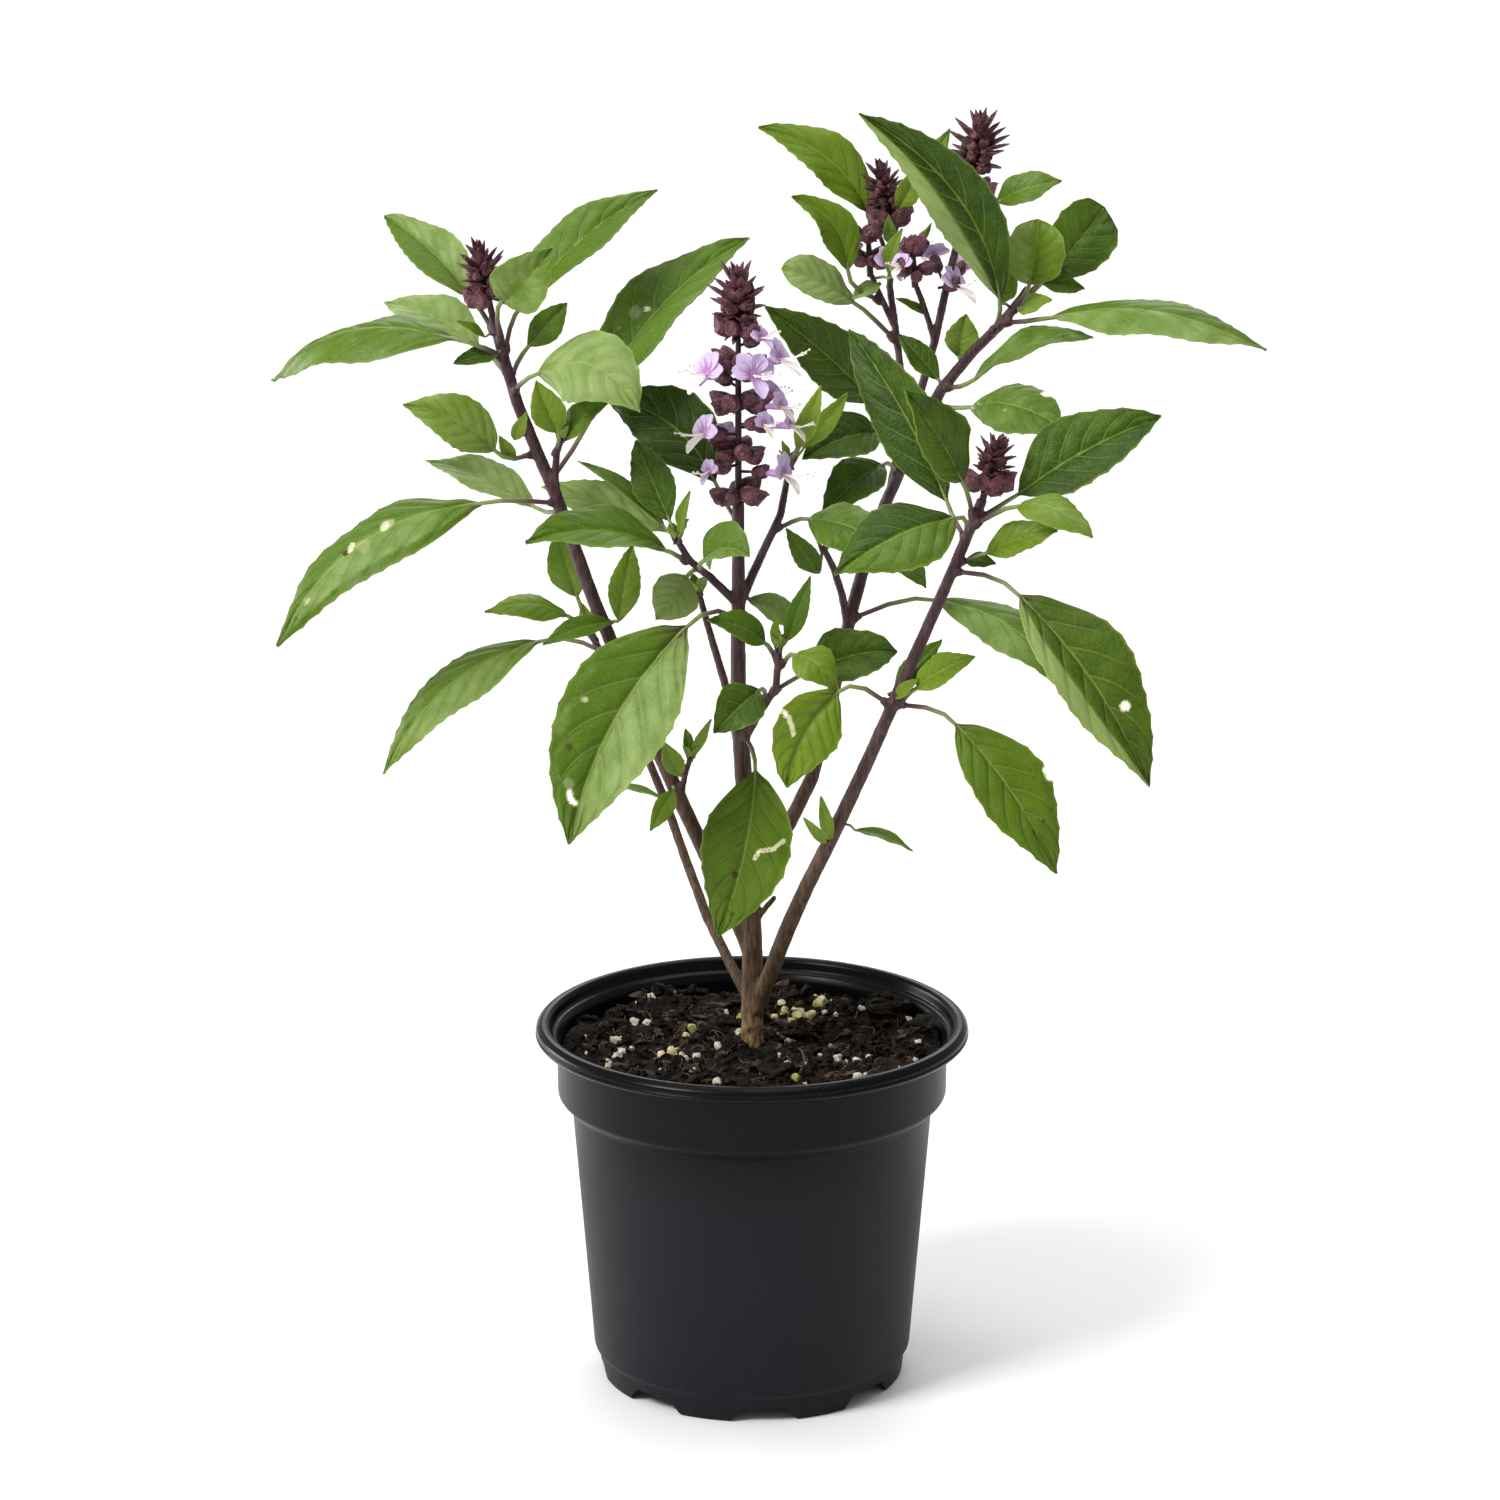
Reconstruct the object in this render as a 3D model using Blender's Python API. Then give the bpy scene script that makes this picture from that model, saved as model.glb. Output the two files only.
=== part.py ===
"""A basil plant in flower, growing in a round plastic nursery pot.

Everything is in metres with +Z up. The origin is the middle of the pot's underside,
so the plant stands on z = 0 and the pot's axis is the Z axis. Tables are in millimetres.
The branched stem grew as one piece. It carries the leaves, the flower spikes and the
small flowering clusters, each a solid of its own that stops just short of the stem.
"""

import math
from collections import namedtuple

import bmesh
import bpy
from mathutils import Matrix, Vector

MM = 0.001
GAP = 0.3              # clearance between two solids that touch on the real plant
UP = Vector((0, 0, 1))

# ---------------------------------------------------------------- driving dimensions, mm
POT_HEIGHT = 111.0
RIM_RADIUS = 65.0      # outside of the rolled lip
LIP_HEIGHT = 4.8
COLLAR_RADIUS = 58.4   # the straight band under the lip
COLLAR_FOOT = 89.5     # height where the band turns into the shoulder
BODY_TOP_RADIUS = 54.2
BODY_TOP = 85.5
BODY_FOOT_RADIUS = 48.0
BODY_FOOT = 9.5
FOOT_RADIUS = 45.8
WALL = 1.0
PAD_RADIUS = 28.0      # flat middle of the floor, which rests on the table with the foot ring
CHANNEL_HEIGHT = 4.6   # underside of the raised channel around the pad
POT_SIDES = 36

NOTCHES = 8            # drainage notches around the foot
NOTCH_TURN = 4.6       # degrees that the first one is turned from the front
NOTCH_TOP = 13.0
NOTCH_FOOT = 22.0
NOTCH_HEIGHT = 4.4
DRAIN_RADIUS = 3.0     # one round hole in the channel behind each notch
DRAIN_CIRCLE = 37.0

SOIL_TOP = 102.5
SOIL_CROWN = 1.2       # how much higher the soil is in the middle
SOCKET_DEPTH = 13.2    # how deep the foot of the stem sits in the soil
CROWN_RADIUS = 4.2     # the stem's foot

STEM_SIDES = 8
RING_STEP = 15.0       # about this far between two rings of a stem
PETIOLE_RADIUS = 0.6
BLADE_THICKNESS = 0.9

# ---------------------------------------------------------------- colours and surfaces
FINISHES = {
    "pot_plastic": ((0.025, 0.025, 0.029), 0.42),
    "potting_soil": ((0.035, 0.022, 0.015), 0.95),
    "stem": ((0.11, 0.065, 0.06), 0.55),
    "leaf": ((0.10, 0.22, 0.045), 0.5),
    "young_leaf": ((0.2, 0.36, 0.06), 0.5),
    "flower_spike": ((0.07, 0.02, 0.03), 0.6),
}

# ---------------------------------------------------------------- the branches
# Each branch starts on the axis of the one that it grew from.
Branch = namedtuple("Branch", "points foot_radius tip_radius")
BRANCHES = {
    "main": Branch([(0, 0, 91), (0, 0, 104), (0, 0, 137), (-2, 0, 179), (-4, 0, 210),
                    (-4, 0, 241), (-4, 0, 270)], 3.6, 1.6),
    "left": Branch([(0, 0, 131), (-5, 2, 143), (-20, -2, 177), (-34, -6, 212), (-46, -6, 241),
                    (-57, -6, 273), (-68, -4, 300), (-75, 0, 325)], 2.5, 1.5),
    "left_thin": Branch([(0, 0, 116), (-4, 4, 122), (-15, 18, 141), (-25, 30, 167),
                         (-37, 38, 195), (-50, 45, 222)], 1.7, 1.0),
    "left_inner": Branch([(-4, 0, 196), (-8, 15, 211), (-12, 22, 223), (-16, 28, 236)], 1.3, 0.9),
    "right": Branch([(0, 0, 112), (4, -4, 123), (13, -14, 150), (23, -20, 173), (34, -25, 199),
                     (42, -28, 219), (57, -30, 255), (66, -28, 277)], 2.6, 1.4),
    "rear": Branch([(-1, 0, 150), (5, 9, 160), (18, 22, 180), (30, 40, 227), (40, 48, 258),
                    (57, 48, 294), (74, 40, 315), (82, 38, 326)], 2.3, 1.3),
    "rear_tall": Branch([(45, 49, 270), (49, 58, 284), (55, 60, 306), (61, 60, 334),
                         (65, 60, 348)], 1.3, 1.0),
    "rear_back": Branch([(42, 48.5, 264), (45, 60, 277), (46, 72, 292), (42, 78, 315),
                         (43, 80, 336)], 1.3, 0.9),
    "rear_fork": Branch([(43, 77, 308), (39, 75, 317), (36, 74, 324)], 0.9, 0.8),
    "tall_fork": Branch([(55, 60, 306), (52, 58, 316), (49, 56, 324)], 0.9, 0.8),
    "rear_side": Branch([(29, 39, 222), (26, 34, 238), (21, 28, 250)], 1.2, 0.9),
    "bud_stalk": Branch([(-4, 0, 239), (-12, -4, 248), (-18, -8, 254), (-22, -10, 261)], 1.3, 0.9),
    "centre_fork": Branch([(-4, 0, 238), (-1, 2, 245), (4, 4, 256), (10, 6, 269),
                           (11, 8, 279)], 1.4, 0.9),
    "centre_shoot": Branch([(-3.5, 0, 196), (2, -4, 207), (7, -8, 216), (8, -8, 228)], 1.3, 0.9),
    "left_shoot": Branch([(-57, -6, 274), (-57, -8, 284), (-55, -10, 291)], 1.1, 0.8),
    "left_low_shoot": Branch([(-21, -2, 180), (-20, -6, 188), (-18, -9, 195)], 1.0, 0.7),
    "dead_twig": Branch([(0, 0, 140), (3, -1, 145), (7, -2, 150)], 1.0, 0.7),
}

# ---------------------------------------------------------------- the leaves
# A leaf grows from its branch at a height, its stalk ends where the blade starts, and the
# blade runs to the tip. bow is how far its middle stands proud of a straight line, fold is
# the angle by which its halves rise from the midrib, and faces is where its upper side looks.
# sweep carries the middle sideways, to the right of a leaf that points up and faces you.
Leaf = namedtuple("Leaf", "name branch height start tip width bow fold faces sweep blunt",
                  defaults=(0, False))
LEAVES = [
    Leaf("leaf_left_crown", "left", 322, (-81, 6, 329), (-108, 30, 349), 15, 3, 12, (0, -1, 1), 1),
    Leaf("leaf_left_curled", "left", 319, (-72, -10, 331), (-57, -18, 348), 17, 4, 20, (0, -1, 0)),
    Leaf("leaf_left_upright", "left", 316, (-67, 8, 327), (-28, 35, 356), 18, 3, 12, (-1, -2, 2), -2),
    Leaf("leaf_left_long", "left", 314, (-85, -8, 320), (-141, 20, 302), 24, 11, -22, (0, -1, 2)),
    Leaf("leaf_left_behind", "left", 305, (-80, 14, 314), (-109, 38, 322), 17, 3, 10, (0, -1, 2)),
    Leaf("leaf_left_inner", "left", 308, (-65, 5, 315), (-54, 10, 327), 9, 1, 12, (0, -1, 0)),
    Leaf("leaf_left_broad", "left", 304, (-62, -14, 311), (-32, -30, 303), 26, 7, -10, (0, -1, 1), -5),
    Leaf("leaf_left_tall", "left", 278, (-45, 14, 297), (-1, 40, 341), 27, 4, 12, (-1, -1, 1), -4),
    Leaf("leaf_left_bright", "left", 286, (-74, -14, 288), (-100, -20, 303), 15, 4, 10, (0, -2, 1), 2),
    Leaf("leaf_left_narrow", "left", 270, (-64, 12, 266), (-97, 34, 275), 14, 3, 10, (0, -1, 2)),
    Leaf("leaf_left_droop_top", "left", 272, (-78, -18, 274), (-137, -30, 234), 24, 9, -18, (-1, -2, 3), 6),
    Leaf("leaf_left_droop_low", "left", 226, (-62, -2, 229), (-108, -16, 192), 19, 8, -16, (-1, -2, 3), 3),
    Leaf("leaf_left_shoot", "left_shoot", 288, (-56, -12, 293), (-62, -16, 309), 10, 1, 12, (0, -1, 0)),
    Leaf("leaf_thin_upright", "left_thin", 218, (-53, 47, 230), (-59, 52, 249), 12, 2, 12, (0, -1, 0)),
    Leaf("leaf_thin_side", "left_thin", 216, (-55, 36, 227), (-80, 28, 230), 12, 4, -12, (0, -1, 2)),
    Leaf("leaf_bud_long", "bud_stalk", 256, (-25, -14, 259), (-65, -30, 265), 20, 6, 10, (0, -1, 2)),
    Leaf("leaf_bud_folded", "bud_stalk", 252, (-14, -14, 256), (-1, -26, 260), 16, 2, 18, (0, -1, 1), -2),
    Leaf("leaf_bud_hanging", "bud_stalk", 251, (-19, -2, 248), (-28, -6, 236), 14, 3, 10, (0, -1, 0)),
    Leaf("leaf_centre_large", "main", 236, (-19, -22, 238), (-53, -42, 178), 33, 5, 14, (0, -2, 1), 5),
    Leaf("leaf_centre_behind", "main", 264, (-11, 14, 273), (-43, 34, 293), 22, 4, 10, (0, -2, 1), 5),
    Leaf("leaf_fork_side", "centre_fork", 262, (16, 5, 264), (40, -6, 258), 17, 4, -12, (0, -1, 1)),
    Leaf("leaf_shoot_left", "centre_shoot", 213, (2, -15, 217), (-11, -26, 207), 14, 3, 12, (0, -2, 1)),
    Leaf("leaf_shoot_right", "centre_shoot", 215, (16, -2, 219), (43, 8, 223), 18, 4, 10, (0, -1, 1)),
    Leaf("leaf_centre_hanging", "main", 199, (1, -10, 191), (-10, -22, 144), 26, 3, 8, (0, -1, 0), -2),
    Leaf("leaf_shoot_top_left", "centre_shoot", 225, (4, -6, 229), (-13, -14, 238), 10, 3, 10, (0, -1, 1)),
    Leaf("leaf_shoot_bright", "centre_shoot", 224, (12, -11, 227), (25, -20, 218), 13, 6, -12, (0, -1, 1)),
    Leaf("leaf_right_tall", "right", 266, (56, -18, 274), (28, 5, 320), 20, 4, 12, (-1, -2, 0), 4),
    Leaf("leaf_right_midrib", "right", 273, (60, -36, 284), (43, -50, 313), 18, 2, 12, (1, -2, 1)),
    Leaf("leaf_right_broad", "right", 273, (76, -26, 278), (117, -22, 300), 23, 4, 12, (0, -1, 1)),
    Leaf("leaf_right_pale", "right", 271, (75, -40, 278), (96, -55, 272), 14, 5, -12, (0, -1, 2)),
    Leaf("leaf_right_front", "right", 267, (58, -42, 275), (23, -66, 264), 23, 5, -10, (0, -1, 1)),
    Leaf("leaf_right_droop", "right", 257, (76, -44, 253), (113, -62, 201), 27, 7, 16, (1, -2, 1)),
    Leaf("leaf_right_low", "right", 217, (59, -34, 212), (88, -48, 171), 24, 5, 10, (1, -2, 1)),
    Leaf("leaf_right_olive", "right", 216, (25, -32, 221), (10, -38, 194), 19, 3, 8, (0, -1, 0), 3),
    Leaf("leaf_right_node_top", "right", 260, (67, -31, 262), (87, -38, 270), 11, 2, 10, (0, -1, 1)),
    Leaf("leaf_right_node_low", "right", 219, (47, -32, 222), (64, -38, 233), 10, 2, 10, (0, -1, 1)),
    Leaf("leaf_rear_dark", "rear", 282, (36, 40, 292), (4, 20, 324), 18, 4, 10, (0, -2, 1)),
    Leaf("leaf_rear_upper", "rear", 274, (38, 36, 283), (15, 22, 278), 17, 4, 10, (0, -1, 1)),
    Leaf("leaf_rear_under", "rear", 268, (39, 38, 273), (21, 20, 262), 15, 3, 10, (0, -1, 1)),
    Leaf("leaf_back_blunt", "rear_back", 305, (31, 71, 316), (9, 62, 328), 14, 2, 8, (0, -1, 1), 0, True),
    Leaf("leaf_back_top", "rear_back", 329, (36, 82, 341), (2, 85, 367), 16, 4, 10, (0, -1, 1), 4),
    Leaf("leaf_back_fork", "rear_fork", 317, (29, 68, 326), (12, 66, 349), 12, 3, 10, (0, -1, 1), 4),
    Leaf("leaf_rear_great", "rear", 314, (73, 30, 324), (31, 18, 381), 19, 4, 14, (-1, -3, 1), 9),
    Leaf("leaf_tall_side", "rear_tall", 344, (73, 56, 349), (92, 52, 356), 11, 2, 10, (0, -1, 1)),
    Leaf("leaf_rear_round", "rear", 321, (82, 34, 328), (84, 30, 348), 18, 3, 22, (0, -1, 0), 0, True),
    Leaf("leaf_rear_dark_round", "rear", 323, (87, 42, 328), (105, 52, 348), 19, 3, 12, (0, -1, 0), 0, True),
    Leaf("leaf_rear_low_side", "rear", 296, (66, 38, 299), (100, 20, 315), 14, 5, 10, (0, -1, 2)),
    Leaf("leaf_rear_long", "rear", 317, (88, 26, 320), (148, -10, 317), 19, 8, -18, (0, -1, 2)),
    Leaf("leaf_rear_notched", "rear", 290, (65, 32, 292), (90, 10, 291), 18, 5, -10, (0, -1, 1), 0, True),
    Leaf("leaf_rear_droop", "rear", 226, (55, 24, 235), (96, 5, 210), 18, 9, -14, (0, -1, 2)),
]
YOUNG = {"leaf_left_bright", "leaf_left_shoot", "leaf_shoot_bright", "leaf_right_node_top",
         "leaf_right_node_low", "leaf_right_pale", "leaf_rear_round"}

# How wide a blade is along its length, as shares of the length and of the full width.
POINTED_BLADE = [(0.0, 0.10), (0.1, 0.45), (0.25, 0.86), (0.4, 1.0), (0.55, 0.95), (0.72, 0.70),
                 (0.88, 0.34)]
BLUNT_BLADE = [(0.0, 0.12), (0.12, 0.45), (0.3, 0.82), (0.5, 1.0), (0.7, 0.98), (0.86, 0.76),
               (0.95, 0.45)]

# ---------------------------------------------------------------- the flowers
# A spike has whorls of calyces around its axis, each given by its share of the length and
# its radius. The axis is thin between two whorls.
Spike = namedtuple("Spike", "name foot tip whorls")
SPIKES = [
    Spike("spike_centre", (-4, 0, 270.4), (-4, 0, 341),
          [(0.05, 7.5), (0.22, 8.5), (0.42, 8), (0.57, 7), (0.70, 6), (0.82, 6), (0.93, 3.5)]),
    Spike("spike_left", (-75.2, 0.1, 325.4), (-80, 2, 347), [(0.2, 4.5), (0.5, 6.5), (0.8, 4)]),
    Spike("spike_right", (66.2, -28, 277.4), (71, -28, 296), [(0.2, 5), (0.55, 7.5), (0.85, 4)]),
    Spike("spike_tall", (65.2, 60, 348.4), (69, 60, 376),
          [(0.12, 4), (0.4, 7.5), (0.68, 5.5), (0.88, 4)]),
    Spike("spike_back", (43, 80, 336.4), (38, 80, 358), [(0.15, 4), (0.5, 3.5), (0.8, 3)]),
    Spike("flowers_fork", (35.8, 74, 324.4), (35, 74, 338), [(0.3, 5), (0.7, 4)]),
    Spike("flowers_tall", (48.8, 55.9, 324.4), (48, 56, 336), [(0.3, 5), (0.7, 4)]),
]
SPIKE_SIDES = 10
SPIKE_AXIS_RADIUS = 0.9


# ---------------------------------------------------------------- helpers
def clear_scene():
    for obj in list(bpy.data.objects):
        bpy.data.objects.remove(obj, do_unlink=True)


def make_finishes():
    for name, (colour, roughness) in FINISHES.items():
        material = bpy.data.materials.new(name)
        material.use_nodes = True
        shader = material.node_tree.nodes["Principled BSDF"]
        shader.inputs["Base Color"].default_value = (*colour, 1)
        shader.inputs["Roughness"].default_value = roughness
        shader.inputs["Metallic"].default_value = 0
        material.diffuse_color = (*colour, 1)


def add_object(name, bm, finish):
    """The bmesh, drawn in millimetres, becomes an object in metres."""
    bmesh.ops.scale(bm, vec=(MM, MM, MM), verts=bm.verts)
    mesh = bpy.data.meshes.new(name)
    bm.to_mesh(mesh)
    bm.free()
    mesh.materials.append(bpy.data.materials[finish])
    mesh.shade_smooth()
    mesh.set_sharp_from_angle(angle=math.radians(40))
    obj = bpy.data.objects.new(name, mesh)
    bpy.context.collection.objects.link(obj)
    return obj


def add_cutter(name, bm):
    obj = add_object(name, bm, "pot_plastic")
    obj.hide_render = True
    obj.display_type = "WIRE"
    return obj


def add_boolean(obj, cutter, operation):
    boolean = obj.modifiers.new(cutter.name, "BOOLEAN")
    boolean.operation = operation
    boolean.solver = "EXACT"
    boolean.object = cutter


def turned(profile, sides):
    """A solid turned around Z from a profile of (radius, height) points that starts and ends
    on the axis, listed so that the solid is on its left."""
    bm = bmesh.new()
    points = [bm.verts.new((radius, 0, height)) for radius, height in profile]
    edges = [bm.edges.new(pair) for pair in zip(points, points[1:])]
    bmesh.ops.spin(bm, geom=points + edges, cent=(0, 0, 0), axis=(0, 0, 1), dvec=(0, 0, 0),
                   angle=2 * math.pi, steps=sides, use_merge=True)
    bmesh.ops.remove_doubles(bm, verts=bm.verts, dist=0.001)
    bmesh.ops.recalc_face_normals(bm, faces=bm.faces)
    return bm


def skin(bm, rings, tip=None):
    """Joins rings of points into a closed solid. The rings have one point on each side of
    a blade and one above and below its middle, or run round a stem. The diagonals lean
    the same way above and below, so a thin blade doesn't cut through itself."""
    loops = [[bm.verts.new(point) for point in ring] for ring in rings]
    count = len(loops[0])
    for low, high in zip(loops, loops[1:]):
        for i in range(count):
            j = (i + 1) % count
            if i < count // 2:
                bm.faces.new((low[i], low[j], high[j]))
                bm.faces.new((low[i], high[j], high[i]))
            else:
                bm.faces.new((low[i], low[j], high[i]))
                bm.faces.new((low[j], high[j], high[i]))
    bm.faces.new(list(reversed(loops[0])))
    if tip is None:
        bm.faces.new(loops[-1])
    else:
        end = bm.verts.new(tip)
        for i in range(count):
            bm.faces.new((loops[-1][i], loops[-1][(i + 1) % count], end))
    bmesh.ops.triangulate(bm, faces=[face for face in bm.faces if len(face.verts) > 4])
    bmesh.ops.recalc_face_normals(bm, faces=bm.faces)


def curve_through(points, count):
    """count + 1 points, evenly spread over a smooth curve through the given ones."""
    points = [Vector(point) for point in points]
    padded = [points[0] * 2 - points[1], *points, points[-1] * 2 - points[-2]]
    path = []
    for step in range(count + 1):
        place = step / count * (len(points) - 1)
        span = min(int(place), len(points) - 2)
        t = place - span
        a, b, c, d = padded[span:span + 4]
        path.append(0.5 * (2 * b + (c - a) * t + (2 * a - 5 * b + 4 * c - d) * t ** 2
                           + (3 * b - a - 3 * c + d) * t ** 3))
    return path


def bend(first, middle, last, t):
    """A point of the curve that leaves first towards middle and reaches last from it."""
    return first.lerp(middle, t).lerp(middle.lerp(last, t), t)


def along(points, place):
    """The direction of a list of points at one of them."""
    low, high = max(place - 1, 0), min(place + 1, len(points) - 1)
    return (points[high] - points[low]).normalized()


# ---------------------------------------------------------------- stem
def branch_path(branch):
    length = sum((Vector(b) - Vector(a)).length for a, b in zip(branch.points, branch.points[1:]))
    count = max(3, round(length / RING_STEP))
    path = curve_through(branch.points, count)
    radii = [branch.foot_radius + (branch.tip_radius - branch.foot_radius) * i / count
             for i in range(count + 1)]
    return path, radii


def branch_at(name, height):
    """The axis point, the direction and the radius of a branch at a height."""
    path, radii = branch_path(BRANCHES[name])
    for i in range(len(path) - 1):
        if path[i + 1].z >= height:
            share = (height - path[i].z) / (path[i + 1].z - path[i].z)
            break
    radius = radii[i] + (radii[i + 1] - radii[i]) * share
    return path[i].lerp(path[i + 1], share), (path[i + 1] - path[i]).normalized(), radius


def tube(path, radii):
    bm = bmesh.new()
    rings = []
    for i, (centre, radius) in enumerate(zip(path, radii)):
        turn = UP.rotation_difference(along(path, i))
        rings.append([centre + turn @ Vector((radius * math.cos(2 * math.pi * k / STEM_SIDES),
                                              radius * math.sin(2 * math.pi * k / STEM_SIDES), 0))
                      for k in range(STEM_SIDES)])
    skin(bm, rings)
    return bm


def make_stems():
    path, radii = branch_path(BRANCHES["main"])
    radii[0] = CROWN_RADIUS
    stems = add_object("stems", tube(path, radii), "stem")
    for name, branch in BRANCHES.items():
        if name != "main":
            add_boolean(stems, add_cutter("grown_" + name, tube(*branch_path(branch))), "UNION")


# ---------------------------------------------------------------- leaf
def leaf_spine(leaf):
    """Points, half widths and folds along a leaf's stalk and blade, and the tip."""
    start, tip, faces = Vector(leaf.start), Vector(leaf.tip), Vector(leaf.faces).normalized()
    lift = (faces - faces.project(tip - start)).normalized()
    aside = (tip - start).normalized().cross(lift)
    crown = start.lerp(tip, 0.5) + lift * 2 * leaf.bow + aside * 2 * leaf.sweep
    node, direction, radius = branch_at(leaf.branch, leaf.height)
    elbow = start - (crown - start).normalized() * 0.4 * (start - node).length
    outward = elbow - node
    outward = (outward - outward.project(direction)).normalized()
    foot = node + outward * (radius + GAP + PETIOLE_RADIUS)
    spine = [(bend(foot, elbow, start, t), PETIOLE_RADIUS, 0) for t in (0, 0.35, 0.7)]
    for t, share in BLUNT_BLADE if leaf.blunt else POINTED_BLADE:
        spine.append((bend(start, crown, tip, t), max(leaf.width / 2 * share, PETIOLE_RADIUS),
                      math.radians(leaf.fold)))
    return spine, tip


def make_leaf(leaf):
    spine, tip = leaf_spine(leaf)
    points = [point for point, half, fold in spine] + [tip]
    faces = Vector(leaf.faces)
    rings = []
    for i, (centre, half, fold) in enumerate(spine):
        forward = along(points, i)
        normal = (faces - faces.project(forward)).normalized()
        side = forward.cross(normal)
        rise = normal * half * math.sin(fold)
        reach = side * half * math.cos(fold)
        thick = PETIOLE_RADIUS if fold == 0 else BLADE_THICKNESS / 2
        rings.append([centre - reach + rise, centre + normal * thick,
                      centre + reach + rise, centre - normal * thick])
    bm = bmesh.new()
    skin(bm, rings, tip)
    add_object(leaf.name, bm, "young_leaf" if leaf.name in YOUNG else "leaf")


# ---------------------------------------------------------------- flower spike
def make_spike(spike):
    foot, tip = Vector(spike.foot), Vector(spike.tip)
    length = (tip - foot).length
    profile = [(0, 0), (SPIKE_AXIS_RADIUS, 0)]
    waists = [(low[0] + high[0]) / 2 for low, high in zip(spike.whorls, spike.whorls[1:])]
    for (share, radius), waist in zip(spike.whorls, [*waists, None]):
        profile.append((radius, share * length))
        if waist:
            profile.append((SPIKE_AXIS_RADIUS, waist * length))
    profile.append((0, length))
    spike_object = add_object(spike.name, turned(profile, SPIKE_SIDES), "flower_spike")
    spike_object.location = foot * MM
    spike_object.rotation_mode = "QUATERNION"
    spike_object.rotation_quaternion = UP.rotation_difference(tip - foot)


# ---------------------------------------------------------------- pot and soil
def pot_profile():
    lip_foot = POT_HEIGHT - LIP_HEIGHT
    outer = [(0, 0), (PAD_RADIUS, 0), (PAD_RADIUS + 1.5, CHANNEL_HEIGHT),
             (FOOT_RADIUS - 2.5, CHANNEL_HEIGHT), (FOOT_RADIUS - 1.6, 0), (FOOT_RADIUS - 0.6, 0),
             (FOOT_RADIUS, 0.6), (FOOT_RADIUS + 0.8, BODY_FOOT - 1.5), (BODY_FOOT_RADIUS, BODY_FOOT),
             (BODY_TOP_RADIUS, BODY_TOP), (COLLAR_RADIUS, COLLAR_FOOT), (COLLAR_RADIUS, lip_foot),
             (RIM_RADIUS - 1.2, lip_foot), (RIM_RADIUS, lip_foot + 1.6), (RIM_RADIUS - 0.6, POT_HEIGHT - 1),
             (RIM_RADIUS - 2, POT_HEIGHT), (RIM_RADIUS - 3.6, POT_HEIGHT)]
    inner = [(RIM_RADIUS - 4.6, POT_HEIGHT - 1.2), (COLLAR_RADIUS - WALL, lip_foot - 1),
             (COLLAR_RADIUS - WALL, COLLAR_FOOT + 0.4), (BODY_TOP_RADIUS - WALL, BODY_TOP + 0.4),
             (BODY_FOOT_RADIUS - WALL, BODY_FOOT + 0.4), (FOOT_RADIUS - 2, CHANNEL_HEIGHT + WALL),
             (PAD_RADIUS + 0.7, CHANNEL_HEIGHT + WALL), (PAD_RADIUS - 0.8, WALL), (0, WALL)]
    return outer + inner


def around(angle, distance, height):
    """Places something at an angle in degrees from the front, towards +X, turned to face out."""
    turn = Matrix.Rotation(math.radians(angle - 90), 4, "Z")
    return turn @ Matrix.Translation((distance, 0, height))


def notch_cutters():
    """Trapezoids through the foot ring, wider at the table than above it."""
    bm = bmesh.new()
    for i in range(NOTCHES):
        depth = 8.0
        made = bmesh.ops.create_cube(bm, size=1)["verts"]
        for vert in made:
            low = vert.co.z < 0
            vert.co.x *= depth
            vert.co.y *= NOTCH_FOOT if low else NOTCH_TOP
            vert.co.z = -1.0 if low else NOTCH_HEIGHT
        angle = NOTCH_TURN + i * 360 / NOTCHES
        bmesh.ops.transform(bm, matrix=around(angle, FOOT_RADIUS, 0), verts=made)
    return bm


def drain_cutters():
    bm = bmesh.new()
    for i in range(NOTCHES):
        angle = NOTCH_TURN + i * 360 / NOTCHES
        bmesh.ops.create_cone(bm, cap_ends=True, segments=10, radius1=DRAIN_RADIUS,
                              radius2=DRAIN_RADIUS, depth=8.0,
                              matrix=around(angle, DRAIN_CIRCLE, CHANNEL_HEIGHT))
    return bm


def make_pot():
    pot = add_object("pot", turned(pot_profile(), POT_SIDES), "pot_plastic")
    add_boolean(pot, add_cutter("foot_notches", notch_cutters()), "DIFFERENCE")
    add_boolean(pot, add_cutter("drain_holes", drain_cutters()), "DIFFERENCE")


def make_soil():
    """The root ball: it fills the pot to just under the lip, with a socket for the stem."""
    side = WALL + GAP
    socket_foot = SOIL_TOP + SOIL_CROWN - SOCKET_DEPTH
    floor = CHANNEL_HEIGHT + WALL + GAP
    profile = [(0, WALL + GAP), (PAD_RADIUS - 1.2, WALL + GAP), (PAD_RADIUS + 0.4, floor),
               (FOOT_RADIUS - 2.3, floor), (BODY_FOOT_RADIUS - side, BODY_FOOT + 0.6),
               (BODY_TOP_RADIUS - side, BODY_TOP + 0.6), (COLLAR_RADIUS - side, COLLAR_FOOT + 0.8),
               (COLLAR_RADIUS - side, SOIL_TOP - 0.6), (COLLAR_RADIUS - side - 4, SOIL_TOP),
               (CROWN_RADIUS + GAP, SOIL_TOP + SOIL_CROWN), (CROWN_RADIUS + GAP, socket_foot),
               (0, socket_foot)]
    add_object("soil", turned(profile, POT_SIDES), "potting_soil")


def build():
    clear_scene()
    make_finishes()
    make_pot()
    make_soil()
    make_stems()
    for leaf in LEAVES:
        make_leaf(leaf)
    for spike in SPIKES:
        make_spike(spike)


build()
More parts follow.
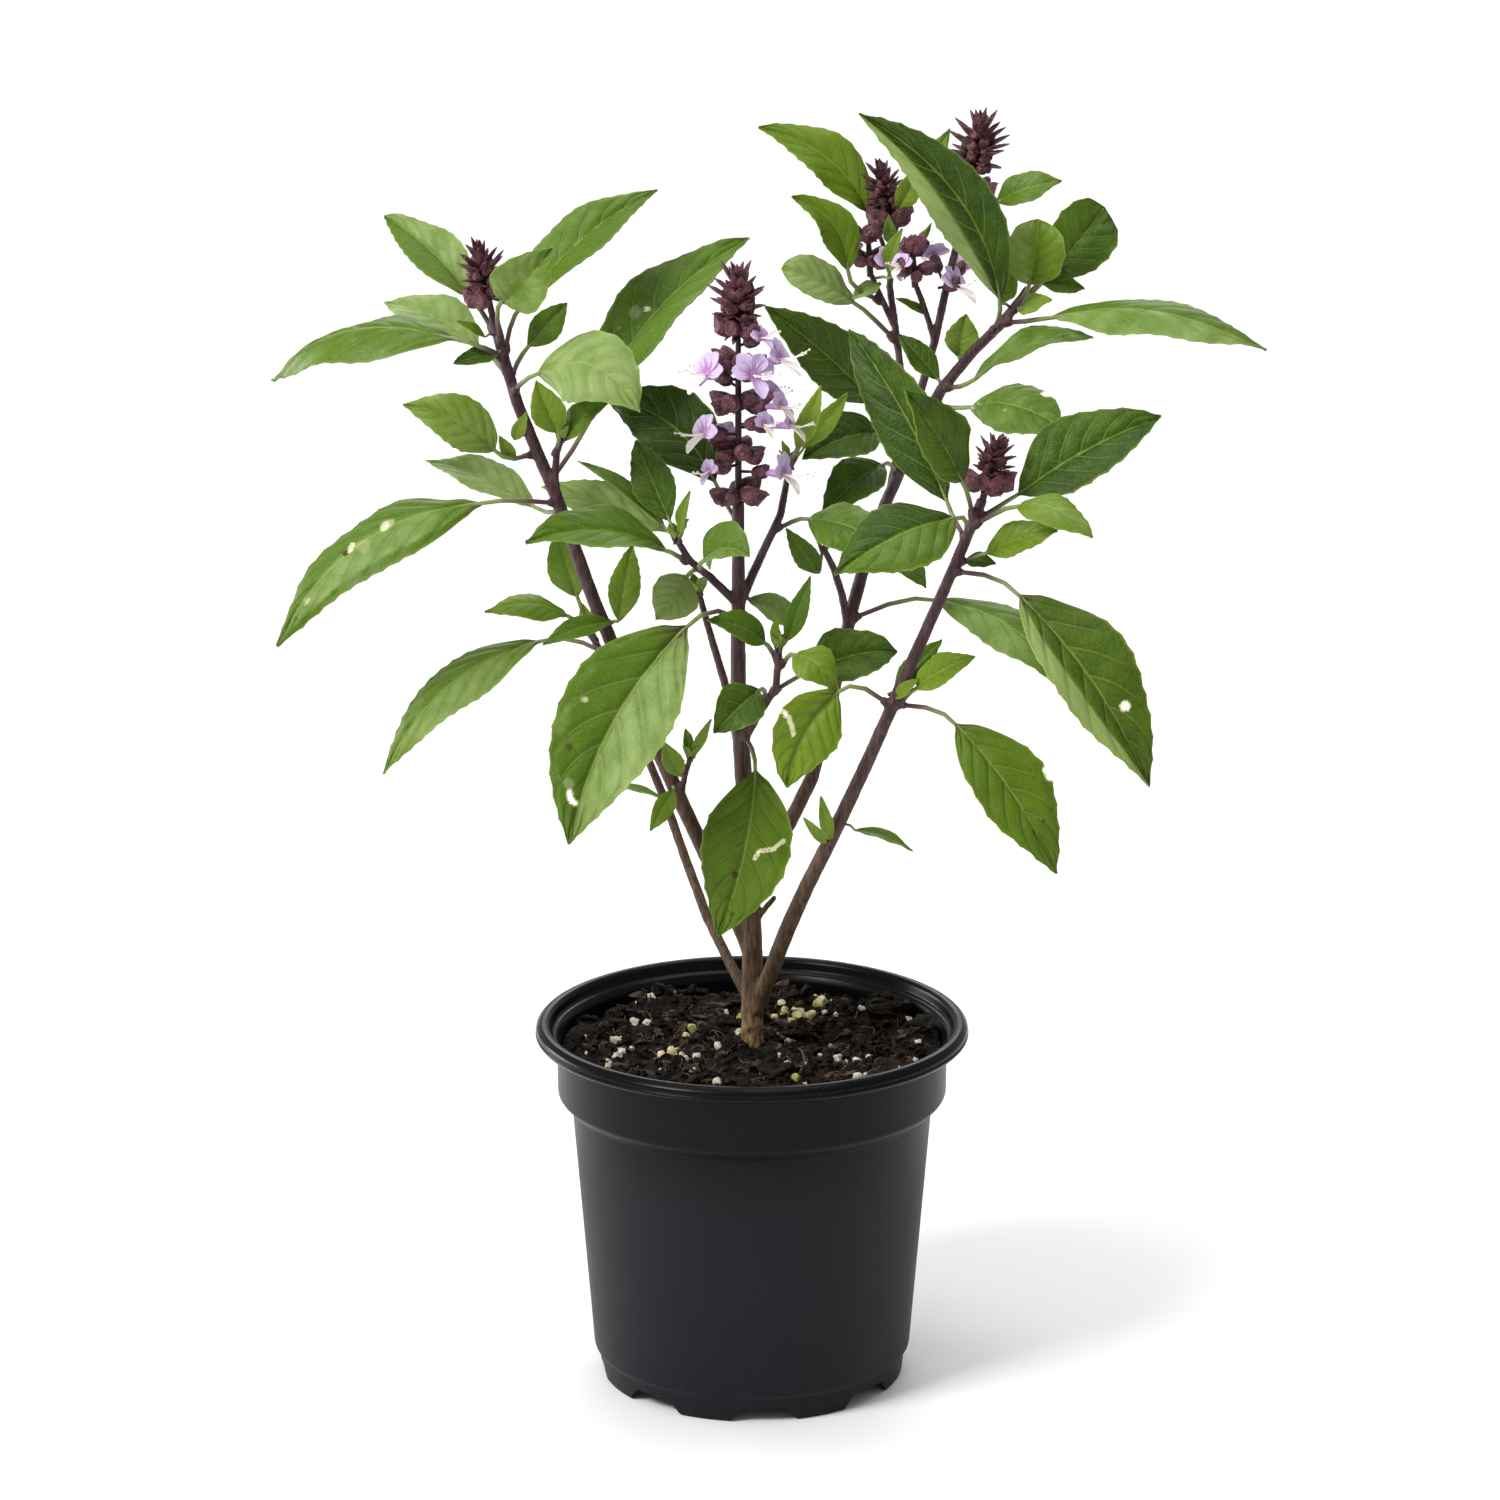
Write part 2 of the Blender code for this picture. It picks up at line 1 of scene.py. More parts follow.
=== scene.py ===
# %% [markdown]
# # A potted basil plant
# A nursery pot of black plastic holds peat with grains of perlite, and out of it grows a basil
# plant with purple stems, toothed leaves and dark flower spikes that carry lilac flowers.
# The CAD model is loaded first and stays fixed. Everything below is measured from it, so each
# leaf, stem and spike is made where its solid says it is.

# %% Load the fixed frame
import math
import random
import bpy
import bmesh
from mathutils import Matrix, Vector, noise
from mathutils.bvhtree import BVHTree


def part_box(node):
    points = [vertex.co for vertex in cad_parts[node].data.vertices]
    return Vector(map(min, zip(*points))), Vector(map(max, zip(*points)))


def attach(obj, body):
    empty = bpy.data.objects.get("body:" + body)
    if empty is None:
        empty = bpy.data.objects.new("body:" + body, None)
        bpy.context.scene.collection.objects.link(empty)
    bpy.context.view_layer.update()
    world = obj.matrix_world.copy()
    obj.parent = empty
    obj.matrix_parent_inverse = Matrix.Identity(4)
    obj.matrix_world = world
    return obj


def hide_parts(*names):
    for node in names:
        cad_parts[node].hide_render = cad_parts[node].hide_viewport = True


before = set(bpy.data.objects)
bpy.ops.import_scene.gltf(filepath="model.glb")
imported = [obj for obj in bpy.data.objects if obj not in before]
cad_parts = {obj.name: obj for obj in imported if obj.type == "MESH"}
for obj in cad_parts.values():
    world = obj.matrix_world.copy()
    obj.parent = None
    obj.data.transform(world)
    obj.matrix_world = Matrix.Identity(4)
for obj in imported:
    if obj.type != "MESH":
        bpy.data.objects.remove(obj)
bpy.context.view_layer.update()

MM = 0.001
TAU = 2 * math.pi

# %% [markdown]
# ## Where the viewer stands
# A plant like this is looked at from a little above the foliage with a long lens, so the pot's
# rim reads as a flat ellipse and the stems hardly converge. A long lens from far away could be
# made with a narrow field or a far camera; both are one pair of numbers, distance and focal length.

# %% Camera
EYE = Vector((-0.6, -1482.3, 602.2)) * MM
LOOK_DOWN = math.radians(15.37)
FOCAL_LENGTH, SENSOR_WIDTH = 124.7, 36

camera = bpy.data.objects.new("camera", bpy.data.cameras.new("camera"))
camera.data.lens = FOCAL_LENGTH
camera.data.sensor_width = SENSOR_WIDTH
camera.location = EYE
camera.rotation_euler = (math.pi / 2 - LOOK_DOWN, 0, 0)
bpy.context.scene.collection.objects.link(camera)
bpy.context.scene.camera = camera
print("camera", round(EYE.length, 3), "m from the pot's foot")

# %% [markdown]
# ## Studio light
# The plant stands on a white sweep under one large soft lamp, high on the left, with white
# surroundings filling the shadows. One big area lamp gives the soft shadow on the right; the
# pale world stands for the white walls. Colours are shown without a film curve, so that white
# stays white.

# %% Floor, lamps and surroundings
def lamp(name, place, target, size, power):
    """A square soft lamp at a place, facing a target."""
    light = bpy.data.lights.new(name, "AREA")
    light.size, light.energy = size, power
    item = bpy.data.objects.new(name, light)
    item.location = place
    item.rotation_euler = (Vector(target) - Vector(place)).to_track_quat("-Z", "Y").to_euler()
    bpy.context.scene.collection.objects.link(item)


# Each lamp's place, what it faces, its width in metres and its power in watts.
LAMPS = {"key_lamp": ((-1.45, -1.15, 1.85), (0, 0, 0.15), 0.8, 52),
         "top_lamp": ((0.2, 0.3, 2.6), (0, 0.1, 0), 2.2, 36),
         "side_lamp": ((-2.3, 1.25, 0.2), (0, 0, 0.08), 1.2, 44),
         "sweep_lamp": ((0, 5.6, 3.0), (0, 5.6, 0), 4.0, 190)}
ROOM_LIGHT = 0.38
for name, measures in LAMPS.items():
    lamp(name, *measures)

world = bpy.data.worlds.new("white_room")
world.use_nodes = True
world.node_tree.nodes["Background"].inputs["Color"].default_value = (1, 1, 1, 1)
world.node_tree.nodes["Background"].inputs["Strength"].default_value = ROOM_LIGHT
bpy.context.scene.world = world
bpy.context.scene.view_settings.view_transform = "Standard"
print("lamps:", len(LAMPS), "and white surroundings")

# %% [markdown]
# ## Sums in the shader
# A pattern is easier to read as an expression than as boxes and wires. `Value` wraps one output
# of a node and overloads Python's operators, so `1 - mask * 0.5` adds the Math nodes for it.
# `Finish` is a material in the making; its one method `node` adds any other node.

# %% The class that does sums with sockets
class Value:
    """An output of a node, ready for sums. Each sum adds a Math node to the same material."""

    def __init__(self, finish, socket):
        self.finish, self.socket = finish, socket

    def math(self, operation, *values):
        return self.finish.node("Math", {"operation": operation}, dict(enumerate(values)))

    def __add__(self, other): return self.math("ADD", self, other)
    def __radd__(self, other): return self.math("ADD", other, self)
    def __sub__(self, other): return self.math("SUBTRACT", self, other)
    def __rsub__(self, other): return self.math("SUBTRACT", other, self)
    def __mul__(self, other): return self.math("MULTIPLY", self, other)
    def __rmul__(self, other): return self.math("MULTIPLY", other, self)
    def __pow__(self, other): return self.math("POWER", self, other)
    def __abs__(self): return self.math("ABSOLUTE", self)
    def fraction(self): return self.math("FRACT", self)
    def sine(self): return self.math("SINE", self)
    def positive(self): return self.math("GREATER_THAN", self, 0.0)
    def most(self, other): return self.math("MAXIMUM", self, other)


class Finish:
    """A material in the making: a Principled shader whose sockets are filled by sums."""

    def __init__(self, name, **constants):
        self.material = bpy.data.materials.new(name)
        self.material.use_nodes = True
        self.tree = self.material.node_tree
        self.shader = self.tree.nodes["Principled BSDF"]
        for socket, number in constants.items():
            self.shader.inputs[socket.replace("_", " ")].default_value = number

    def node(self, kind, settings=None, sockets=None, output=0):
        """Add one node: its settings first, then what its sockets hold or what feeds them."""
        node = self.tree.nodes.new("ShaderNode" + kind)
        for key, setting in (settings or {}).items():
            setattr(node, key, setting)
        for key, value in (sockets or {}).items():
            self.plug(value, node.inputs[key])
        return Value(self, node.outputs[output])

    def plug(self, value, socket):
        if isinstance(value, Value):
            self.tree.links.new(value.socket, socket)
        else:
            socket.default_value = value

    def set(self, socket, value):
        self.plug(value, self.shader.inputs[socket])

    def place(self, stretch=(1, 1, 1)):
        """The point on the object, in millimetres, stretched along the axes."""
        point = self.node("TexCoord", output=3)
        scale = tuple(1000 * s for s in stretch)
        return self.node("VectorMath", {"operation": "MULTIPLY"}, {0: point, 1: scale})

    def noise(self, size, detail=2.0, stretch=(1, 1, 1), rough=0.5):
        """Cloudy noise whose blotches are about size millimetres across."""
        return self.node("TexNoise", None, {"Vector": self.place(stretch), "Scale": 1.0 / size,
                                            "Detail": detail, "Roughness": rough})

    def cells(self, size, feature="F1", stretch=(1, 1, 1), output=0):
        return self.node("TexVoronoi", {"feature": feature},
                         {"Vector": self.place(stretch), "Scale": 1.0 / size}, output)

    def attribute(self, name):
        return self.node("Attribute", {"attribute_name": name}, None, 2)

    def smooth(self, value, low, high):
        """0 below low, 1 above high, eased between; low may be the greater."""
        flip = low > high
        step = self.node("MapRange", {"interpolation_type": "SMOOTHSTEP"},
                         {0: value, 1: min(low, high), 2: max(low, high), 3: 0.0, 4: 1.0})
        return 1 - step if flip else step

    def blend(self, amount, first, second):
        """Mix two colours."""
        first, second = (c if isinstance(c, Value) else (*c, 1) for c in (first, second))
        return self.node("Mix", {"data_type": "RGBA"}, {0: amount, 6: first, 7: second}, 2)

    def scale(self, colour, amount):
        """Make a colour darker or lighter by a factor that varies."""
        return self.node("VectorMath", {"operation": "SCALE"}, {0: colour, 3: amount})

    def bump(self, height, depth, strength=1.0):
        """Relief: height 0 to 1 stands for depth in millimetres."""
        self.set("Normal", self.node("Bump", None, {"Height": height, "Distance": depth * MM,
                                                    "Strength": strength}))


def srgb(red, green, blue):
    """A colour as it is seen on a screen, 0 to 255, as the light that makes it."""
    return tuple((c / 255 / 12.92) if c <= 10 else ((c / 255 + 0.055) / 1.055) ** 2.4
                 for c in (red, green, blue))


floor_finish = Finish("white_sweep", Roughness=0.75, Specular_IOR_Level=0.1)
floor_finish.set("Base Color", (0.93, 0.93, 0.93, 1))

# %% [markdown]
# ## Helpers for making pieces
# Every piece is finished the same way: its bmesh becomes an object at the origin, it is shaded
# smooth, given its finishes, and told to ride on the body. Writing that once keeps the cells short.

# %% From a bmesh to a finished piece
WELD = 0.00001


def as_object(name, bm, finishes=()):
    """Hand a bmesh over to a new object at the origin."""
    mesh = bpy.data.meshes.new(name)
    bm.to_mesh(mesh)
    bm.free()
    for finish in finishes:
        mesh.materials.append(finish.material)
    item = bpy.data.objects.new(name, mesh)
    bpy.context.scene.collection.objects.link(item)
    return item


def piece(name, bm, finishes, replaces=(), angle=math.radians(50)):
    """Turn a bmesh into a named object that rides on the plant."""
    item = as_object(name, bm, finishes)
    item.data.shade_smooth()
    item.data.set_sharp_from_angle(angle=angle)
    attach(item, "root")
    for node in replaces:
        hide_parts(node)
    return item


def tidy(bm, distance=WELD):
    """Close the seams and turn every face outwards."""
    bmesh.ops.remove_doubles(bm, verts=bm.verts, dist=distance)
    bmesh.ops.recalc_face_normals(bm, faces=bm.faces)


def merged_copy(node):
    """A bmesh of a CAD node with its loose triangles joined."""
    bm = bmesh.new()
    bm.from_mesh(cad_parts[node].data)
    bmesh.ops.remove_doubles(bm, verts=bm.verts, dist=WELD)
    return bm


def mix(a, b, share):
    return a + (b - a) * share


floor = bmesh.new()
bmesh.ops.create_grid(floor, x_segments=2, y_segments=2, size=9)
as_object("floor", floor, [floor_finish])
print("helpers ready")

# %% [markdown]
# ## The pot
# A nursery pot is one thin shell of black polypropylene, moulded in a split tool: a rolled lip, a
# collar, a shoulder and a straight tapering wall down to a stepped foot with notches. It could be
# cut from a cylinder, but it is a turned shape, so its profile is spun round the axis and the
# notches are cut from the foot afterwards. The profile starts from the solid's own measures.

# %% Profile of the pot
pot_low, pot_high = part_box("pot")
RIM = (pot_high.x - pot_low.x) / 2 / MM
POT_TOP = pot_high.z / MM
WALL = 1.0
POT_TURNS = 168
print("pot: rim radius", round(RIM, 1), "mm, height", round(POT_TOP, 1), "mm")


def rounded(profile, radius):
    """The same profile with each corner eased by an arc of three points."""
    out = [profile[0]]
    for before, corner, after in zip(profile, profile[1:], profile[2:]):
        before, corner, after = Vector(before), Vector(corner), Vector(after)
        reach = min(radius, (before - corner).length * 0.45, (after - corner).length * 0.45)
        start = corner + (before - corner).normalized() * reach
        end = corner + (after - corner).normalized() * reach
        for share in (0, 0.3, 0.7, 1):
            curve = start * (1 - share) ** 2 + corner * 2 * share * (1 - share) + end * share ** 2
            out.append((curve.x, curve.y))
    return out + [profile[-1]]


def turned(profile, turns):
    """A profile of (radius, height) in millimetres, spun round the upright axis."""
    bm = bmesh.new()
    verts = [bm.verts.new((radius * MM, 0, height * MM)) for radius, height in profile]
    edges = [bm.edges.new(pair) for pair in zip(verts, verts[1:])]
    bmesh.ops.spin(bm, geom=verts + edges, cent=(0, 0, 0), axis=(0, 0, 1), angle=TAU,
                   steps=turns, use_merge=True)
    tidy(bm)
    return bm


LIP_FOOT, COLLAR_FOOT, BODY_TOP, BODY_FOOT, CHANNEL = POT_TOP - 4.8, 89.5, 85.5, 9.5, 4.6
COLLAR, BODY_HIGH, BODY_LOW, FOOT, PAD = RIM - 6.6, RIM - 10.8, RIM - 17, RIM - 19.2, 28
POT_OUTSIDE = [(0, 0), (PAD, 0), (PAD + 1.5, CHANNEL), (FOOT - 2.5, CHANNEL), (FOOT - 1.6, 0),
               (FOOT - 0.5, 0), (FOOT, 0.6), (FOOT + 0.7, BODY_FOOT - 2.2),
               (BODY_LOW - 0.2, BODY_FOOT - 0.8), (BODY_LOW, BODY_FOOT), (BODY_HIGH, BODY_TOP),
               (BODY_HIGH + 0.9, BODY_TOP + 0.3), (COLLAR - 0.5, COLLAR_FOOT - 0.9),
               (COLLAR, COLLAR_FOOT), (COLLAR + 0.2, LIP_FOOT), (RIM - 1.0, LIP_FOOT),
               (RIM, LIP_FOOT + 1.1), (RIM, LIP_FOOT + 1.7), (RIM - 0.45, LIP_FOOT + 2.0),
               (RIM - 0.1, LIP_FOOT + 2.35), (RIM - 0.3, POT_TOP - 1.4), (RIM - 1.7, POT_TOP)]
POT_INSIDE = [(RIM - 3.3, POT_TOP), (RIM - 4.4, POT_TOP - 0.9), (RIM - 5.0, POT_TOP - 3.6),
              (RIM - 6.4, POT_TOP - 4.1), (COLLAR - WALL, LIP_FOOT - 1.4),
              (COLLAR - WALL, COLLAR_FOOT + 0.4), (BODY_HIGH - WALL, BODY_TOP + 0.4),
              (BODY_LOW - WALL, BODY_FOOT + 0.4), (FOOT - 2, CHANNEL + WALL),
              (PAD + 0.7, CHANNEL + WALL), (PAD - 0.8, WALL), (0, WALL)]
print("profile:", len(POT_OUTSIDE + POT_INSIDE), "corners")

# %% [markdown]
# ## The foot of the pot
# Water leaves through holes in a raised channel and runs out under notches in the foot. The mould
# makes both at once. Here they are cut from the turned shell, with one block and one cylinder
# repeated round the axis, as a cut leaves clean walls inside the notches too.

# %% Cut the notches and the drain holes
NOTCHES, NOTCH_TURN = 8, 4.6
NOTCH_DEEP, NOTCH_WIDE, NOTCH_NARROW, NOTCH_HIGH = 8, 22, 13, 4.4
DRAIN_RADIUS, DRAIN_PLACE = 3, 37


def around(degrees, distance, height):
    """A place at an angle from the front, towards the right, turned to face outwards."""
    return (Matrix.Rotation(math.radians(degrees - 90), 4, "Z")
            @ Matrix.Translation(Vector((distance, 0, height)) * MM))


def pot_cutters():
    """What is cut from the foot: notches wider at the table, and round holes to drain."""
    bm = bmesh.new()
    for i in range(NOTCHES):
        turn = NOTCH_TURN + i * 360 / NOTCHES
        made = bmesh.ops.create_cube(bm, size=1)["verts"]
        for vert in made:
            low = vert.co.z < 0
            vert.co = Vector((vert.co.x * NOTCH_DEEP,
                              vert.co.y * (NOTCH_WIDE if low else NOTCH_NARROW),
                              -1 if low else NOTCH_HIGH)) * MM
        bmesh.ops.transform(bm, matrix=around(turn, FOOT, 0), verts=made)
        bmesh.ops.create_cone(bm, cap_ends=True, segments=24, radius1=DRAIN_RADIUS * MM,
                              radius2=DRAIN_RADIUS * MM, depth=8 * MM,
                              matrix=around(turn, DRAIN_PLACE, CHANNEL))
    return bm


def cut(bm, cutters):
    """Take the cutters away from a bmesh with an exact Boolean."""
    pair = [as_object("to_cut", bm), as_object("cutters", cutters)]
    modifier = pair[0].modifiers.new("cut", "BOOLEAN")
    modifier.object, modifier.operation, modifier.solver = pair[1], "DIFFERENCE", "EXACT"
    result = evaluated(pair[0])
    for item in pair:
        bpy.data.objects.remove(item)
    return result


def evaluated(item):
    """A bmesh of an object with its modifiers applied."""
    bpy.context.view_layer.update()
    graph = bpy.context.evaluated_depsgraph_get()
    bm = bmesh.new()
    bm.from_object(item, graph)
    return bm


pot = cut(turned(rounded(POT_OUTSIDE + POT_INSIDE, 0.8), POT_TURNS), pot_cutters())
print("pot:", len(pot.faces), "faces")

# %% [markdown]
# ## Black plastic
# Recycled polypropylene is not quite black: it is a charcoal with a satin skin. It has a faint
# orange-peel from the mould, small scuffs where pots were stacked, and a little dust and
# dried soil under the lip. All of that is noise in the colour, the roughness and a shallow bump.
# The band from the upper body up to the collar, under the lip, is darker by painted shade.

# %% Pot finish
plastic = Finish("black_plastic", Roughness=0.42, Specular_IOR_Level=0.12)
cloud = plastic.noise(28, 3)
grain = plastic.noise(0.6, 3)
scuff = plastic.smooth(plastic.noise(5, 4, (0.25, 0.25, 2.2)), 0.66, 0.84)
speck = plastic.smooth(plastic.cells(3.1), 0.13, 0.05)
speck = speck * plastic.smooth(plastic.noise(9), 0.5, 0.66)
level = plastic.node("SeparateXYZ", None, {0: plastic.place()}, 2)
lip = plastic.smooth(level, LIP_FOOT - 0.6, LIP_FOOT)
# Painted shade: a band from the upper body up to the collar, under the lip, is darkened.
collar = plastic.smooth(level, BODY_TOP - 24, COLLAR_FOOT + 2)
charcoal = plastic.blend(cloud, (0.0085, 0.0082, 0.0112), (0.0125, 0.012, 0.0162))
# The band under the lip gets its painted shade here.
charcoal = plastic.scale(charcoal, 1 - collar * 0.72)
charcoal = plastic.blend(scuff * 0.2, charcoal, (0.04, 0.04, 0.044))
plastic.set("Base Color", plastic.blend(speck * 0.3, charcoal, (0.09, 0.07, 0.05)))
plastic.set("Roughness", 0.42 + cloud * 0.14 + scuff * 0.1 + speck * 0.2 - collar * 0.12
            - lip * 0.12)
plastic.bump(grain * 0.6 + cloud * 0.4, 0.12, 0.3)
piece("nursery_pot", pot, [plastic], ["pot"])

# %% [markdown]
# ## The soil
# Peat is a crust of crumbs, fibres and bark with white grains of perlite. Seen close it is never
# flat, so its surface is a fine grid pressed into a disc and lifted by several sizes of noise.
# A grid squeezed onto a disc keeps even cells to the rim; the sides are then extruded down along
# the pot's wall, as the root ball keeps the shape of its pot.

# %% Lift the crust
soil_low, soil_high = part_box("soil")
SOIL_TOP = soil_high.z / MM - 1.2
SOIL_RADIUS = (soil_high.x - soil_low.x) / 2 / MM
CRUST_CELLS = 170

# Heaps and hollows: x, y, how wide, how high, in millimetres.
SOIL_HEAPS = [(0, 0, 10, 2.2), (-46, 10, 8, 3.6), (-28, 36, 12, 3.4), (38, 32, 9, 3.8),
              (50, 8, 7, 4.0), (14, 46, 8, 3.2), (24, 8, 13, -4.4), (-16, 18, 8, -2.4),
              (-30, -20, 10, 2.0), (20, -30, 14, 1.2), (12, -8, 5, 1.6)]


def soil_height(x, y):
    """The height of the crust at a place, all in millimetres."""
    point = Vector((x, y, 0))
    radius = point.length
    lumps = noise.noise(point / 12 + Vector((3, 1, 7))) * 2.8
    crumbs = noise.turbulence(point / 4.6, 5, True) * 2.0 - 1.1
    edge = 1.6 * max(0, (radius - 46) / (SOIL_RADIUS - 46)) ** 2
    heaps = sum(height * math.exp(-((x - hx) ** 2 + (y - hy) ** 2) / wide ** 2)
                for hx, hy, wide, height in SOIL_HEAPS)
    return SOIL_TOP + lumps + crumbs + heaps - edge


def make_soil():
    """The crust, with the sides and bottom of the root ball drawn down from its rim."""
    bm = bmesh.new()
    bmesh.ops.create_grid(bm, x_segments=CRUST_CELLS, y_segments=CRUST_CELLS, size=1)
    for vert in bm.verts:
        x, y = vert.co.xy
        x, y = (x * math.sqrt(1 - y * y / 2) * SOIL_RADIUS,
                y * math.sqrt(1 - x * x / 2) * SOIL_RADIUS)
        vert.co = Vector((x, y, soil_height(x, y))) * MM
    edges = [edge for edge in bm.edges if edge.is_boundary]
    side = WALL + 0.3
    for radius, height in ((SOIL_RADIUS, COLLAR_FOOT + 1), (BODY_HIGH - side, BODY_TOP + 0.6),
                           (BODY_LOW - side, BODY_FOOT + 0.6), (FOOT - 2.3, CHANNEL + side)):
        made = bmesh.ops.extrude_edge_only(bm, edges=edges)["geom"]
        edges = [part for part in made if isinstance(part, bmesh.types.BMEdge)]
        for vert in {vert for edge in edges for vert in edge.verts}:
            flat = vert.co.xy.normalized() * radius * MM
            vert.co = (flat.x, flat.y, height * MM)
    bmesh.ops.edgeloop_fill(bm, edges=edges)
    tidy(bm)
    return bm


soil = make_soil()
print("soil:", len(soil.faces), "faces, crust near", round(SOIL_TOP, 1), "mm")

# %% [markdown]
# ## Damp peat
# Damp peat is brown on its crumbs, with paler fibres. The cracks between crumbs are painted
# nearly black as painted shade: the cells of a crumb pattern darken the colour at their edges,
# and two sizes of noise mix the browns.

# %% Soil finish
peat = Finish("dark_peat", Roughness=0.9, Specular_IOR_Level=0.2)
crumb = peat.cells(2.2, output=1)
crumb_edge = peat.cells(2.2, "DISTANCE_TO_EDGE")
earth = peat.noise(7, 5, rough=0.7)
fine = peat.noise(1.1, 4, rough=0.7)
fibre = peat.smooth(peat.noise(1.6, 3, (1, 0.18, 0.5)), 0.6, 0.72)
tone = peat.node("SeparateXYZ", None, {0: crumb})
brown = peat.blend(peat.smooth(earth, 0.35, 0.7), (0.0028, 0.002, 0.0016),
                   (0.023, 0.0135, 0.007))
brown = peat.blend(tone * 0.5, brown, (0.011, 0.0065, 0.004))
brown = peat.blend(peat.smooth(fine, 0.55, 0.75) * 0.45, brown, (0.06, 0.033, 0.016))
brown = peat.blend(fibre * 0.45, brown, (0.12, 0.06, 0.026))
# Painted shade: darker towards the edges of the crumb cells, in the cracks between crumbs.
peat.set("Base Color", peat.scale(brown, 0.35 + peat.smooth(crumb_edge, 0, 0.2) * 0.75))
peat.set("Roughness", 0.95 - peat.smooth(fine, 0.5, 0.8) * 0.3)
peat.bump(fine * 0.5 + peat.smooth(crumb_edge, 0, 0.3) * 0.5, 1.1, 0.9)
piece("soil_surface", soil, [peat], ["soil"])

# %% [markdown]
# ## What lies in the soil
# Perlite is a popped white stone, bark comes as flat chips, and peat keeps threads of root. Each
# grain is a small ball or brick pushed out of shape by noise, and scattered by a seeded draw so
# that the same bed is made each time. Each kind is one piece, since nobody picks out one grain.

# %% Grains and threads
def soil_spot(rng, reach=0.95):
    """A place drawn evenly on the crust, clear of the trunk."""
    while True:
        angle, radius = rng.uniform(0, TAU), math.sqrt(rng.random()) * reach * SOIL_RADIUS
        x, y = radius * math.cos(angle), radius * math.sin(angle)
        if radius > 7:
            return Vector((x, y, soil_height(x, y)))


def lump(bm, place, size, rng, round_=2, rough=0.25, sink=0.2):
    """A ball pushed out of shape; size gives its three half axes in millimetres."""
    turn = (Matrix.Rotation(rng.uniform(0, TAU), 4, "Z")
            @ Matrix.Rotation(rng.uniform(-0.5, 0.5), 4, "X"))
    made = bmesh.ops.create_icosphere(bm, subdivisions=round_, radius=1)["verts"]
    shift = Vector((rng.random(), rng.random(), rng.random())) * 50
    for vert in made:
        push = 1 + rough * noise.noise(vert.co * 1.3 + shift) * 2
        vert.co = Vector((vert.co.x * size[0], vert.co.y * size[1], vert.co.z * size[2])) * push
    height = Vector((0, 0, size[2] * (1 - 2 * sink)))
    bmesh.ops.transform(bm, matrix=Matrix.Scale(MM, 4) @ Matrix.Translation(place + height) @ turn,
                        verts=made)


def scatter(count, seed, sizes, flat=(1, 1, 1), **how):
    """Many lumps of about the same kind; flat gives their proportions."""
    rng = random.Random(seed)
    bm = bmesh.new()
    for _ in range(count):
        size = rng.uniform(*sizes) * (0.6 + 0.4 * rng.random())
        half = [size * f * rng.uniform(0.75, 1.25) / 2 for f in flat]
        lump(bm, soil_spot(rng), half, rng, **how)
    return bm


def strand_path(rng, place, length, points=7):
    """A thread that wanders over the crust from a place."""
    angle, path = rng.uniform(0, TAU), []
    for i in range(points):
        lift = 0.25 + 1.2 * math.sin(math.pi * i / (points - 1)) * rng.random()
        path.append(Vector((place.x, place.y, soil_height(place.x, place.y) + lift)) * MM)
        angle += rng.uniform(-0.6, 0.6)
        place = place + Vector((math.cos(angle), math.sin(angle), 0)) * length / (points - 1)
        if place.xy.length > SOIL_RADIUS - 1.5:
            angle += math.pi / 2
            place = place * 0.96
    return path


def tube(bm, path, radii, sides=6, material=0):
    """Carry a ring of vertices along a path by extruding it, and cap both ends."""
    made = bmesh.ops.create_circle(bm, cap_ends=True, segments=sides, radius=1)["verts"]
    used = set(made)
    cap = made[0].link_faces[0]
    ring, turn = list(cap.verts), None
    shape = [vert.co.copy() for vert in ring]
    for i, point in enumerate(path):
        ahead = (path[min(i + 1, len(path) - 1)] - path[max(i - 1, 0)]).normalized()
        if turn is None:
            turn = ahead.to_track_quat("Z", "Y")
        else:
            turn = (turn @ Vector((0, 0, 1))).rotation_difference(ahead) @ turn
            keep = i == 1
            grown = bmesh.ops.extrude_face_region(bm, geom=[cap], use_keep_orig=keep)["geom"]
            cap = next(part for part in grown if isinstance(part, bmesh.types.BMFace))
            ring = match_ring(ring, list(cap.verts))
            used.update(ring)
        for vert, spot in zip(ring, shape):
            vert.co = point + turn @ (spot * radii[i])
    faces = list({face for vert in used for face in vert.link_faces})
    for face in faces:
        face.material_index = material
    bmesh.ops.recalc_face_normals(bm, faces=faces)
    return faces


def match_ring(old, new):
    """The new ring's vertices in the order of the old ring's, by the nearest place."""
    return [min(new, key=lambda vert: (vert.co - last.co).length_squared) for last in old]


def strands(count, seed, lengths, thickness):
    """Many threads, thinner at both ends."""
    rng = random.Random(seed)
    bm = bmesh.new()
    for _ in range(count):
        path = strand_path(rng, soil_spot(rng, 0.9), rng.uniform(*lengths))
        radii = [thickness * MM * rng.uniform(0.6, 1.2) * (0.5 if i in (0, 6) else 1)
                 for i in range(7)]
        tube(bm, path, radii, 5)
    tidy(bm, 0.000001)
    return bm


print("a bed of lumps and threads can be laid at", round(soil_height(30, 0), 1), "mm")

# %% [markdown]
# ## The bed is laid
# Perlite is chalky, bark is dark with a long grain, and roots are tan. Some grains are stained
# green by algae where water stands, and one bare root lies on the crust beside the trunk.

# %% Lay the grains, chips, crumbs and threads
perlite = Finish("perlite", Roughness=0.85)
chalk = perlite.noise(1.2, 3)
perlite.set("Base Color", perlite.blend(chalk, (0.3, 0.26, 0.18), (0.8, 0.76, 0.64)))
perlite.bump(perlite.cells(0.5) * 0.6 + chalk * 0.4, 0.35, 0.7)

